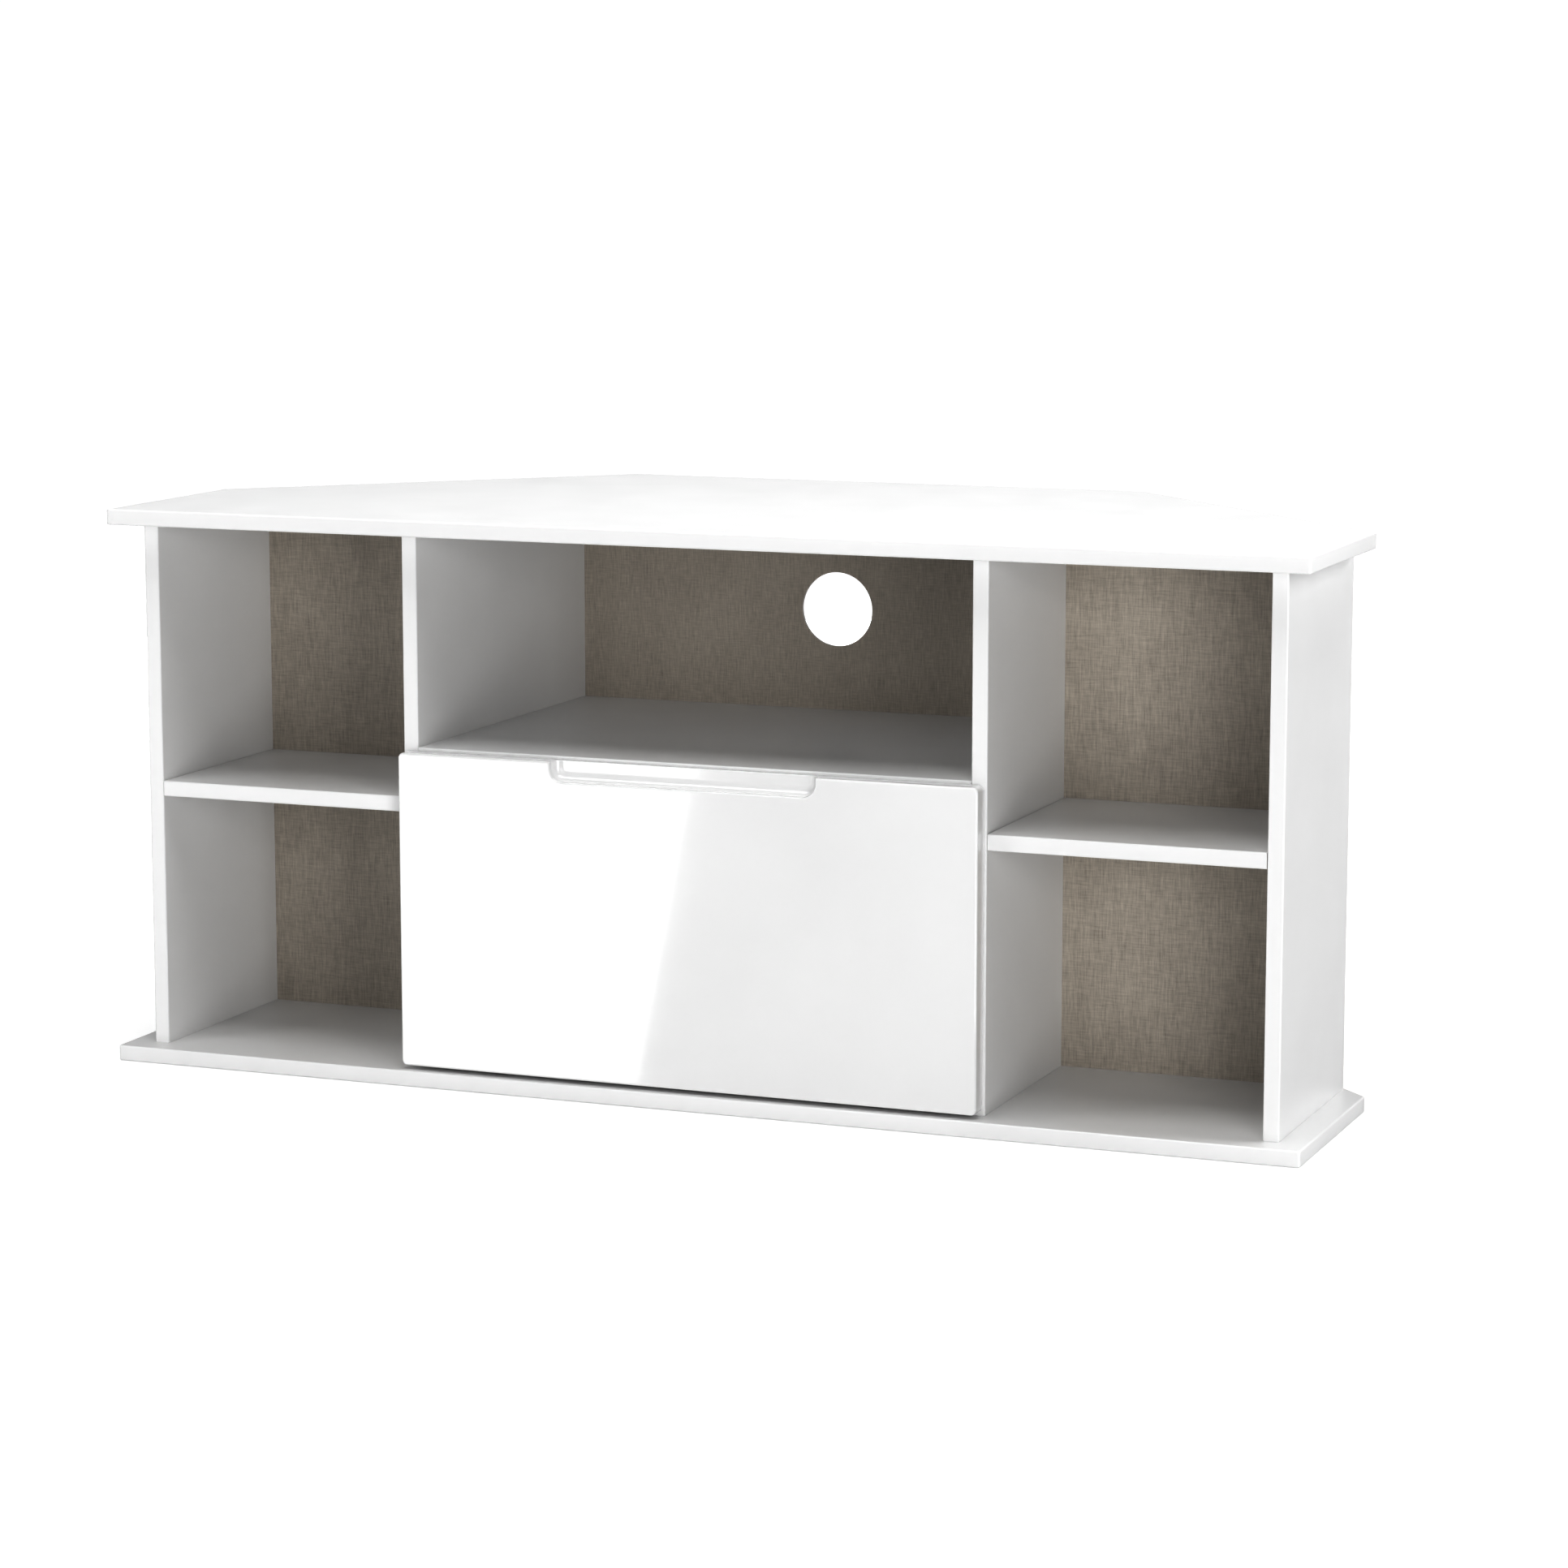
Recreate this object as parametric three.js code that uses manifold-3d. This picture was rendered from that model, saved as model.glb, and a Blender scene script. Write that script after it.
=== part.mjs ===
// Corner media cabinet: two six-sided boards held apart by four uprights, with a shelf in each
// side bay, and an open space over one deep drawer in the middle bay.
//
// Millimetres, +Z up. The origin is on the floor at the middle of the cabinet's bounding box,
// the front faces -Y and the right-hand end is +X. Depths are counted back from the front edge
// of the top board.
import * as THREE from "three";
import { mergeVertices } from "three/addons/utils/BufferGeometryUtils.js";
import Module from "manifold-3d";

const wasm = await Module();
wasm.setup();

// ---------------------------------------------------------------- driving dimensions

// the two six-sided boards
const WIDTH = 1180;
const HEIGHT = 537;
const SIDE_EDGE = 230; // straight part of each side edge, before the 45 degree rear corner
const REAR_CORNER = 315; // how far the rear corner is cut back, along X and along Y
const BOARD = 15;
const FRONT_OVERHANG = 26;
const SIDE_OVERHANG = 26;

// uprights, shelves and backs
const END_PANEL_DEPTH = 223;
const DIVIDER_DEPTH = 384;
const DIVIDER_OUTER_X = 290;
const SIDE_SHELF_Z = 258.5; // underside
const CENTRE_SHELF_Z = 306; // underside
const SHELF_END_GAP = 0.5;
const BACK_BOARD = 3;
const BACK_GROOVE_DEPTH = 4;
const CABLE_HOLE_RADIUS = 37;

// drawer
const DRAWER_FRONT_WIDTH = 575;
const DRAWER_FRONT_BOTTOM = 18.5;
const DRAWER_FRONT_TOP = 318;
const DRAWER_FRONT_THICKNESS = 18;
const DRAWER_FRONT_GAP = 0.5; // between the closed front and the upright edges
const DRAWER_SIDE = 12; // thickness of the sides and the back
const DRAWER_SIDE_HEIGHT = 220;
const DRAWER_SIDE_Z = 29; // lower edge
const RUNNER_SPACE = 12.5; // each side, between drawer side and divider
const RUNNER_LENGTH = 350;
const DRAWER_BOTTOM = 3;
const DRAWER_BOTTOM_RISE = 10; // above the lower edge of the drawer sides
const GROOVE_DEPTH = 5;

// finger scoop in the top edge of the drawer front
const SCOOP_WIDTH = 264;
const SCOOP_HEIGHT = 18.7;
const SCOOP_DEPTH = 13.5;
const SCOOP_CORNER = 13;
const SCOOP_COVE = 9;

// pressed-steel runners and their rollers
const STEEL = 1.25;
const SEAT_GAP = 0.25; // left between a cut or pressed piece and the piece that it lies on
const CHANNEL_Z = 27; // underside of the channel on the divider
const CHANNEL_HEIGHT = 22.75;
const CABINET_ROLLER_RADIUS = 9;
const DRAWER_ROLLER_RADIUS = 10;
const ROLLER_WIDTH = 6.7;
const ROLLER_BORE = 2.6;
const AXLE_RADIUS = 2.5;
const RIVET_HEAD_RADIUS = 3.2;
const BOSS_RADIUS = 4;
const RIVET_HEAD = 0.6; // thickness of an axle's head and of its boss
const ROLLER_INSET = 12; // roller axis to the end of its runner
const ROLLER_RUNNING_GAP = 0.15; // between a roller and the steel that it rolls on
const RUNNER_SCREW_DEPTHS = [["front", 69], ["rear", 261]]; // from the front end of the channel
const STOP_HEIGHT = 7; // the bent-up tab that the drawer's roller meets when fully open
const STOP_THICKNESS = 1.75;
const STOP_HEADROOM = 0.75;
const DRAWER_TRAVEL = 270;

// fixings
const FIXING_CLEARANCE = 0.3;
const FIXING_INSET = 35; // first and last fixing, from the edge of the upright
const DOWEL_RADIUS = 4;
const DOWEL_LENGTH = 30;
const DOWEL_IN_TOP = 10; // how far a dowel enters the top board
const DOWEL_IN_DIVIDER = 9; // how far a shelf dowel enters the divider
const BASE_SCREW_LENGTH = 50;
const BASE_SCREW_HEAD = 5; // radii
const BASE_SCREW_SHANK = 3.4;
const SHELF_PIN_INSET = 40;
const SHELF_PIN_RADIUS = 3; // the thick end, under the shelf
const SHELF_PIN_SHANK = 2.5;
const SHELF_PIN_HOLE = 9;
const SHELF_PIN_REACH = 8;
const RUNNER_SCREW_LENGTH = 14;
const RUNNER_SCREW_HEAD = 3.4; // radii
const RUNNER_SCREW_SHANK = 1.75;
const RUNNER_SCREW_PROUD = 0.5; // how far its head stands out of the channel
const ROUND = 12; // facets round a fixing
const ROLLER_FACETS = 24;

// ---------------------------------------------------------------- sizes that follow

const DEPTH = SIDE_EDGE + REAR_CORNER;
const HALF_WIDTH = WIDTH / 2;
const FRONT_Y = -DEPTH / 2;
const UPRIGHT_FRONT = FRONT_OVERHANG;
const END_OUTER_X = HALF_WIDTH - SIDE_OVERHANG;
const END_INNER_X = END_OUTER_X - BOARD;
const END_REAR = UPRIGHT_FRONT + END_PANEL_DEPTH;
const DIVIDER_INNER_X = DIVIDER_OUTER_X - BOARD;
const DIVIDER_REAR = UPRIGHT_FRONT + DIVIDER_DEPTH;
const UPRIGHT_BOTTOM = BOARD;
const UPRIGHT_TOP = HEIGHT - BOARD;
const OPEN_BAY_Z = (CENTRE_SHELF_Z + BOARD + UPRIGHT_TOP) / 2;
const DRAWER_FRONT_BACK = UPRIGHT_FRONT - DRAWER_FRONT_GAP;
const DRAWER_OUTER_X = DIVIDER_INNER_X - RUNNER_SPACE;
const DRAWER_INNER_X = DRAWER_OUTER_X - DRAWER_SIDE;
const DRAWER_REAR = DRAWER_FRONT_BACK + RUNNER_LENGTH;
const DRAWER_FLOOR_Z = DRAWER_SIDE_Z + DRAWER_BOTTOM_RISE;
const CHANNEL_TOP = CHANNEL_Z + CHANNEL_HEIGHT;
const WEB_OUTER_X = DIVIDER_INNER_X - SEAT_GAP;
const WEB_INNER_X = WEB_OUTER_X - STEEL;
const LEG_INNER_X = DRAWER_OUTER_X + SEAT_GAP;
const LEG_OUTER_X = LEG_INNER_X + STEEL;
const DRAWER_ROLLER_Z = CHANNEL_Z + STEEL + ROLLER_RUNNING_GAP + DRAWER_ROLLER_RADIUS;
const CABINET_ROLLER_Z = CHANNEL_Z + STEEL + SEAT_GAP + CABINET_ROLLER_RADIUS;
const RAIL_Z = CABINET_ROLLER_Z + CABINET_ROLLER_RADIUS + ROLLER_RUNNING_GAP; // rail's underside
const CABINET_ROLLER_DEPTH = UPRIGHT_FRONT + ROLLER_INSET;
const DRAWER_ROLLER_DEPTH = DRAWER_REAR - ROLLER_INSET;

// ---------------------------------------------------------------- materials

const whiteBoard = new THREE.MeshStandardMaterial({ color: 0xf3f3f1, roughness: 0.42 });
const glossWhite = new THREE.MeshStandardMaterial({ color: 0xfafafa, roughness: 0.08 });
const clothPrint = new THREE.MeshStandardMaterial({ color: 0x8c8378, roughness: 0.7 });
const drawerBoard = new THREE.MeshStandardMaterial({ color: 0xeeeeea, roughness: 0.5 });
const coatedSteel = new THREE.MeshStandardMaterial({ color: 0xe9e9e6, roughness: 0.35, metalness: 0.2 });
const zincSteel = new THREE.MeshStandardMaterial({ color: 0xb9bcc0, roughness: 0.3, metalness: 1 });
const nylon = new THREE.MeshStandardMaterial({ color: 0xe4e3dc, roughness: 0.4 });
const beech = new THREE.MeshStandardMaterial({ color: 0xc9a26d, roughness: 0.75 });

// ---------------------------------------------------------------- making shapes

const cabinet = new THREE.Group();

function add(name, geometry, material, position = [0, 0, 0]) {
  const mesh = new THREE.Mesh(geometry, material);
  mesh.name = name;
  mesh.position.set(...position);
  cabinet.add(mesh);
  return mesh;
}

// A box between two corners given as [x, depth, z]; the corners can come in either order.
function blockBetween(a, b) {
  const size = a.map((value, axis) => Math.abs(b[axis] - value));
  const middle = a.map((value, axis) => (value + b[axis]) / 2);
  const geometry = new THREE.BoxGeometry(...size);
  return geometry.translate(middle[0], FRONT_Y + middle[1], middle[2]);
}

function toSolid(geometry) {
  const bare = geometry.clone();
  bare.deleteAttribute("normal");
  bare.deleteAttribute("uv");
  const merged = mergeVertices(bare, 1e-4);
  const triVerts = Uint32Array.from(merged.index.array);
  const vertProperties = Float32Array.from(merged.attributes.position.array);
  return new wasm.Manifold(new wasm.Mesh({ numProp: 3, vertProperties, triVerts }));
}

function toGeometry(solid) {
  const mesh = solid.getMesh();
  const indexed = new THREE.BufferGeometry();
  indexed.setAttribute("position", new THREE.BufferAttribute(mesh.vertProperties, 3));
  indexed.setIndex(new THREE.BufferAttribute(mesh.triVerts, 1));
  const flat = indexed.toNonIndexed();
  flat.computeVertexNormals();
  return flat;
}

function cut(geometry, cutters) {
  const solid = cutters.reduce((left, cutter) => left.subtract(toSolid(cutter)), toSolid(geometry));
  return toGeometry(solid);
}

function join(geometries) {
  const [first, ...rest] = geometries.map(toSolid);
  return toGeometry(rest.reduce((whole, piece) => whole.add(piece), first));
}

// A turned piece from [radius, height] pairs, first about Y and then laid along the axis asked for.
function turned(profile, axis, facets = ROUND) {
  const points = profile.map(([radius, height]) => new THREE.Vector2(radius, height));
  const geometry = new THREE.LatheGeometry(points, facets);
  if (axis === "z") geometry.rotateX(Math.PI / 2);
  if (axis === "+x") geometry.rotateZ(-Math.PI / 2);
  if (axis === "-x") geometry.rotateZ(Math.PI / 2);
  return geometry;
}

// The hole for a screw: its outline from the head to the tip, one clearance larger all round.
function drilled(outline, mouth) {
  const wider = outline.map(([radius, height]) => [
    radius === 0 ? 0 : radius + FIXING_CLEARANCE, height + FIXING_CLEARANCE,
  ]);
  return [[0, mouth], [wider[0][0], mouth], ...wider.slice(1)];
}

const SIDES = [["left", -1], ["right", 1]];
const outward = (sign) => (sign > 0 ? "+x" : "-x");
const inward = (sign) => (sign > 0 ? "-x" : "+x");

// ---------------------------------------------------------------- fixings

// Every fixing is a solid and a slightly larger cutter for its hole, at one place.
function fixing(name, profile, holeProfile, material, axis, [x, depth, z]) {
  const place = [x, FRONT_Y + depth, z];
  add(name, turned(profile, axis), material, place);
  return turned(holeProfile, axis).translate(...place);
}

function dowel(name, axis, place) {
  const half = DOWEL_LENGTH / 2;
  const hole = half + FIXING_CLEARANCE;
  const profile = [
    [0, -half], [DOWEL_RADIUS - 1, -half], [DOWEL_RADIUS, 1 - half],
    [DOWEL_RADIUS, half - 1], [DOWEL_RADIUS - 1, half], [0, half],
  ];
  const wide = DOWEL_RADIUS + FIXING_CLEARANCE;
  const holeProfile = [[0, -hole], [wide, -hole], [wide, hole], [0, hole]];
  return fixing(name, profile, holeProfile, beech, axis, place);
}

// Long furniture screw with a flat head and a blind socket, driven up through the base.
function baseScrew(name, place) {
  const socketDepth = 3;
  const socketRadius = 2.2;
  const neck = 4;
  const tip = 4;
  const tipRadius = 1.5;
  const profile = [
    [0, socketDepth], [socketRadius, socketDepth], [socketRadius, 0], [BASE_SCREW_HEAD, 0],
    [BASE_SCREW_HEAD, 1], [BASE_SCREW_SHANK, neck], [BASE_SCREW_SHANK, BASE_SCREW_LENGTH - tip],
    [tipRadius, BASE_SCREW_LENGTH], [0, BASE_SCREW_LENGTH],
  ];
  return fixing(name, profile, drilled(profile.slice(3), -1), zincSteel, "z", place);
}

// Steel shelf pin: the thin end sits in the upright and the shelf rests on the thick end.
function shelfPin(name, axis, place) {
  const chamfer = 0.5;
  const profile = [
    [0, -SHELF_PIN_HOLE], [SHELF_PIN_SHANK - chamfer, -SHELF_PIN_HOLE],
    [SHELF_PIN_SHANK, chamfer - SHELF_PIN_HOLE], [SHELF_PIN_SHANK, FIXING_CLEARANCE],
    [SHELF_PIN_RADIUS, FIXING_CLEARANCE], [SHELF_PIN_RADIUS, SHELF_PIN_REACH - 2 * chamfer],
    [SHELF_PIN_RADIUS - 2 * chamfer, SHELF_PIN_REACH], [0, SHELF_PIN_REACH],
  ];
  const deep = SHELF_PIN_HOLE + FIXING_CLEARANCE;
  const wide = SHELF_PIN_SHANK + FIXING_CLEARANCE;
  const holeProfile = [[0, -deep], [wide, -deep], [wide, 1], [0, 1]];
  return fixing(name, profile, holeProfile, zincSteel, axis, place);
}

// Countersunk screw with a small recess in its head, head first along the axis.
function runnerScrew(name, axis, place) {
  const recessRadius = 1.3;
  const rim = 0.7;
  const neck = 3;
  const tip = 2;
  const tipRadius = 0.6;
  const profile = [
    [0, 1], [1, 1], [recessRadius, 0], [RUNNER_SCREW_HEAD, 0], [RUNNER_SCREW_HEAD, rim],
    [RUNNER_SCREW_SHANK, neck], [RUNNER_SCREW_SHANK, RUNNER_SCREW_LENGTH - tip],
    [tipRadius, RUNNER_SCREW_LENGTH], [0, RUNNER_SCREW_LENGTH],
  ];
  return fixing(name, profile, drilled(profile.slice(3), -2), zincSteel, axis, place);
}

// The four uprights: where each stands, how deep it is, and its two fixing depths.
const uprights = SIDES.flatMap(([side, sign]) => [
  { name: `end_panel_${side}`, label: `end_${side}`, sign, inner: END_INNER_X, rear: END_REAR },
  { name: `divider_${side}`, label: `divider_${side}`, sign, inner: DIVIDER_INNER_X, rear: DIVIDER_REAR },
]);
const holesIn = Object.fromEntries(
  [...uprights.map((upright) => upright.name), "top_board", "base_board", "centre_shelf",
    "cabinet_runner_left", "cabinet_runner_right"].map((name) => [name, []]),
);

function dowelAndScrewUprights() {
  const dowelZ = UPRIGHT_TOP + DOWEL_IN_TOP - DOWEL_LENGTH / 2;
  for (const { name, label, sign, inner, rear } of uprights) {
    const x = sign * (inner + BOARD / 2);
    const depths = [["front", UPRIGHT_FRONT + FIXING_INSET], ["rear", rear - FIXING_INSET]];
    for (const [end, depth] of depths) {
      const dowelHole = dowel(`top_dowel_${label}_${end}`, "z", [x, depth, dowelZ]);
      const screwHole = baseScrew(`base_screw_${label}_${end}`, [x, depth, FIXING_CLEARANCE]);
      holesIn[name].push(dowelHole, screwHole);
      holesIn.top_board.push(dowelHole);
      holesIn.base_board.push(screwHole);
    }
  }
}

function dowelCentreShelf() {
  const x = DIVIDER_INNER_X + DOWEL_IN_DIVIDER - DOWEL_LENGTH / 2;
  const depths = [["front", UPRIGHT_FRONT + FIXING_INSET], ["rear", DIVIDER_REAR - FIXING_INSET]];
  for (const [side, sign] of SIDES) {
    for (const [end, depth] of depths) {
      const place = [sign * x, depth, CENTRE_SHELF_Z + BOARD / 2];
      const hole = dowel(`centre_shelf_dowel_${side}_${end}`, outward(sign), place);
      holesIn.centre_shelf.push(hole);
      holesIn[`divider_${side}`].push(hole);
    }
  }
}

function pinSideShelves() {
  const z = SIDE_SHELF_Z - SHELF_PIN_RADIUS;
  const depths = [["front", UPRIGHT_FRONT + SHELF_PIN_INSET], ["rear", END_REAR - SHELF_PIN_INSET]];
  for (const [side, sign] of SIDES) {
    for (const [end, depth] of depths) {
      const inner = [sign * DIVIDER_OUTER_X, depth, z];
      const outer = [sign * END_INNER_X, depth, z];
      holesIn[`divider_${side}`].push(shelfPin(`shelf_pin_${side}_inner_${end}`, outward(sign), inner));
      holesIn[`end_panel_${side}`].push(shelfPin(`shelf_pin_${side}_outer_${end}`, inward(sign), outer));
    }
  }
}

function screwRunners() {
  const x = WEB_INNER_X - RUNNER_SCREW_PROUD;
  for (const [side, sign] of SIDES) {
    for (const [end, inset] of RUNNER_SCREW_DEPTHS) {
      const place = [sign * x, UPRIGHT_FRONT + inset, DRAWER_ROLLER_Z];
      const hole = runnerScrew(`runner_screw_${side}_${end}`, outward(sign), place);
      holesIn[`divider_${side}`].push(hole);
      holesIn[`cabinet_runner_${side}`].push(hole);
    }
  }
}

// ---------------------------------------------------------------- carcass

// Six-sided plan shared by the top and the base.
function cornerPlan() {
  const plan = new THREE.Shape();
  plan.moveTo(-HALF_WIDTH, FRONT_Y);
  plan.lineTo(HALF_WIDTH, FRONT_Y);
  plan.lineTo(HALF_WIDTH, FRONT_Y + SIDE_EDGE);
  plan.lineTo(HALF_WIDTH - REAR_CORNER, FRONT_Y + DEPTH);
  plan.lineTo(REAR_CORNER - HALF_WIDTH, FRONT_Y + DEPTH);
  plan.lineTo(-HALF_WIDTH, FRONT_Y + SIDE_EDGE);
  plan.closePath();
  return plan;
}

function sixSidedBoard(name, underside) {
  const slab = new THREE.ExtrudeGeometry(cornerPlan(), { depth: BOARD, bevelEnabled: false });
  slab.translate(0, 0, underside);
  add(name, cut(slab, holesIn[name]), whiteBoard);
}

function upright({ name, sign, inner, rear }) {
  const from = [sign * inner, UPRIGHT_FRONT, UPRIGHT_BOTTOM];
  const to = [sign * (inner + BOARD), rear, UPRIGHT_TOP];
  add(name, cut(blockBetween(from, to), holesIn[name]), whiteBoard);
}

// Groove up the outer face of each divider, which takes the inner edge of the side back.
function grooveDividers() {
  for (const [side, sign] of SIDES) {
    const from = [sign * (DIVIDER_OUTER_X - BACK_GROOVE_DEPTH), END_REAR, UPRIGHT_BOTTOM - 1];
    const to = [sign * (DIVIDER_OUTER_X + 1), END_REAR + BACK_BOARD + SEAT_GAP, UPRIGHT_TOP + 1];
    holesIn[`divider_${side}`].push(blockBetween(from, to));
  }
}

function centreShelf() {
  const from = [-DIVIDER_INNER_X, UPRIGHT_FRONT, CENTRE_SHELF_Z];
  const to = [DIVIDER_INNER_X, DIVIDER_REAR, CENTRE_SHELF_Z + BOARD];
  add("centre_shelf", cut(blockBetween(from, to), holesIn.centre_shelf), whiteBoard);
}

function sideShelf(side, sign) {
  const from = [sign * (DIVIDER_OUTER_X + SHELF_END_GAP), UPRIGHT_FRONT, SIDE_SHELF_Z];
  const to = [sign * (END_INNER_X - SHELF_END_GAP), END_REAR - SEAT_GAP, SIDE_SHELF_Z + BOARD];
  add(`side_shelf_${side}`, blockBetween(from, to), whiteBoard);
}

function sideBack(side, sign) {
  const innerEdge = DIVIDER_OUTER_X - BACK_GROOVE_DEPTH + SEAT_GAP;
  const from = [sign * innerEdge, END_REAR, UPRIGHT_BOTTOM];
  const to = [sign * END_OUTER_X, END_REAR + BACK_BOARD, UPRIGHT_TOP];
  add(`back_panel_${side}`, blockBetween(from, to), clothPrint);
}

// The middle back covers the rear edges of both dividers and has the round cable hole.
function centreBack() {
  const outline = new THREE.Shape();
  outline.moveTo(-DIVIDER_OUTER_X, UPRIGHT_BOTTOM);
  outline.lineTo(DIVIDER_OUTER_X, UPRIGHT_BOTTOM);
  outline.lineTo(DIVIDER_OUTER_X, UPRIGHT_TOP);
  outline.lineTo(-DIVIDER_OUTER_X, UPRIGHT_TOP);
  outline.closePath();
  const hole = new THREE.Path();
  hole.absarc(0, OPEN_BAY_Z, CABLE_HOLE_RADIUS, 0, 2 * Math.PI, true);
  outline.holes.push(hole);
  const sheet = new THREE.ExtrudeGeometry(outline, {
    depth: BACK_BOARD, bevelEnabled: false, curveSegments: 48,
  });
  const mesh = add("back_panel_centre", sheet, clothPrint);
  mesh.rotation.x = Math.PI / 2;
  mesh.position.y = FRONT_Y + DIVIDER_REAR + BACK_BOARD;
}

// ---------------------------------------------------------------- drawer

// The scoop is a pocket routed from the front with round lower corners, and its floor curves
// up into its back wall as a quarter-round cove.
function scoopCutter() {
  const half = SCOOP_WIDTH / 2;
  const bottom = DRAWER_FRONT_TOP - SCOOP_HEIGHT;
  const above = DRAWER_FRONT_TOP + 5;
  const reach = 30; // how far the outline is carried in front of the face and behind it
  const outline = new THREE.Shape();
  outline.moveTo(-half, above);
  outline.lineTo(-half, bottom + SCOOP_CORNER);
  outline.absarc(-half + SCOOP_CORNER, bottom + SCOOP_CORNER, SCOOP_CORNER, Math.PI, 1.5 * Math.PI);
  outline.lineTo(half - SCOOP_CORNER, bottom);
  outline.absarc(half - SCOOP_CORNER, bottom + SCOOP_CORNER, SCOOP_CORNER, 1.5 * Math.PI, 2 * Math.PI);
  outline.lineTo(half, above);
  outline.closePath();
  const pocket = new THREE.ExtrudeGeometry(outline, {
    depth: 2 * reach, bevelEnabled: false, curveSegments: 8,
  });
  const faceY = FRONT_Y + DRAWER_FRONT_BACK - DRAWER_FRONT_THICKNESS;
  pocket.rotateX(Math.PI / 2).translate(0, faceY + reach, 0);

  // section through the pocket: x is the depth behind the face, y is the height
  const section = new THREE.Shape();
  section.moveTo(-5, above + 1);
  section.lineTo(-5, bottom);
  section.lineTo(SCOOP_DEPTH - SCOOP_COVE, bottom);
  section.absarc(SCOOP_DEPTH - SCOOP_COVE, bottom + SCOOP_COVE, SCOOP_COVE, -Math.PI / 2, 0);
  section.lineTo(SCOOP_DEPTH, above + 1);
  section.closePath();
  const length = SCOOP_WIDTH + 2 * SCOOP_CORNER;
  const cove = new THREE.ExtrudeGeometry(section, { depth: length, bevelEnabled: false, curveSegments: 8 });
  cove.rotateX(Math.PI / 2).rotateZ(Math.PI / 2).translate(-length / 2, faceY, 0);
  return toGeometry(toSolid(pocket).intersect(toSolid(cove)));
}

function drawerFront() {
  const half = DRAWER_FRONT_WIDTH / 2;
  const face = DRAWER_FRONT_BACK - DRAWER_FRONT_THICKNESS;
  const slab = blockBetween([-half, face, DRAWER_FRONT_BOTTOM], [half, DRAWER_FRONT_BACK, DRAWER_FRONT_TOP]);
  const groove = blockBetween(
    [-DRAWER_INNER_X - GROOVE_DEPTH, DRAWER_FRONT_BACK - GROOVE_DEPTH, DRAWER_FLOOR_Z - SEAT_GAP],
    [DRAWER_INNER_X + GROOVE_DEPTH, DRAWER_FRONT_BACK + 1, DRAWER_FLOOR_Z + DRAWER_BOTTOM + SEAT_GAP],
  );
  add("drawer_front", cut(slab, [scoopCutter(), groove]), glossWhite);
}

function drawerSide(side, sign) {
  const top = DRAWER_SIDE_Z + DRAWER_SIDE_HEIGHT;
  const board = blockBetween(
    [sign * DRAWER_INNER_X, DRAWER_FRONT_BACK, DRAWER_SIDE_Z],
    [sign * DRAWER_OUTER_X, DRAWER_REAR, top],
  );
  const groove = blockBetween(
    [sign * (DRAWER_INNER_X - 1), DRAWER_FRONT_BACK - 1, DRAWER_FLOOR_Z - SEAT_GAP],
    [sign * (DRAWER_INNER_X + GROOVE_DEPTH), DRAWER_REAR + 1, DRAWER_FLOOR_Z + DRAWER_BOTTOM + SEAT_GAP],
  );
  add(`drawer_side_${side}`, cut(board, [groove]), drawerBoard);
}

function drawerBack() {
  const top = DRAWER_SIDE_Z + DRAWER_SIDE_HEIGHT;
  const from = [-DRAWER_INNER_X, DRAWER_REAR - DRAWER_SIDE, DRAWER_FLOOR_Z + DRAWER_BOTTOM + SEAT_GAP];
  add("drawer_back", blockBetween(from, [DRAWER_INNER_X, DRAWER_REAR, top]), drawerBoard);
}

function drawerBottom() {
  const halfWidth = DRAWER_INNER_X + GROOVE_DEPTH - SEAT_GAP;
  const from = [-halfWidth, DRAWER_FRONT_BACK - GROOVE_DEPTH + SEAT_GAP, DRAWER_FLOOR_Z];
  const to = [halfWidth, DRAWER_REAR, DRAWER_FLOOR_Z + DRAWER_BOTTOM];
  add("drawer_bottom", blockBetween(from, to), drawerBoard);
}

// ---------------------------------------------------------------- runners

// Boss, axle and rivet head in one, growing from a steel face at x towards the given direction.
function axle(x, direction, depth, z) {
  const headStart = RIVET_HEAD + ROLLER_WIDTH + 2 * FIXING_CLEARANCE;
  const headEnd = headStart + RIVET_HEAD;
  const profile = [
    [0, -STEEL / 2], [BOSS_RADIUS, -STEEL / 2], [BOSS_RADIUS, RIVET_HEAD], [AXLE_RADIUS, RIVET_HEAD],
    [AXLE_RADIUS, headStart], [RIVET_HEAD_RADIUS, headStart], [RIVET_HEAD_RADIUS, headEnd], [0, headEnd],
  ];
  return turned(profile, direction).translate(x, FRONT_Y + depth, z);
}

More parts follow.
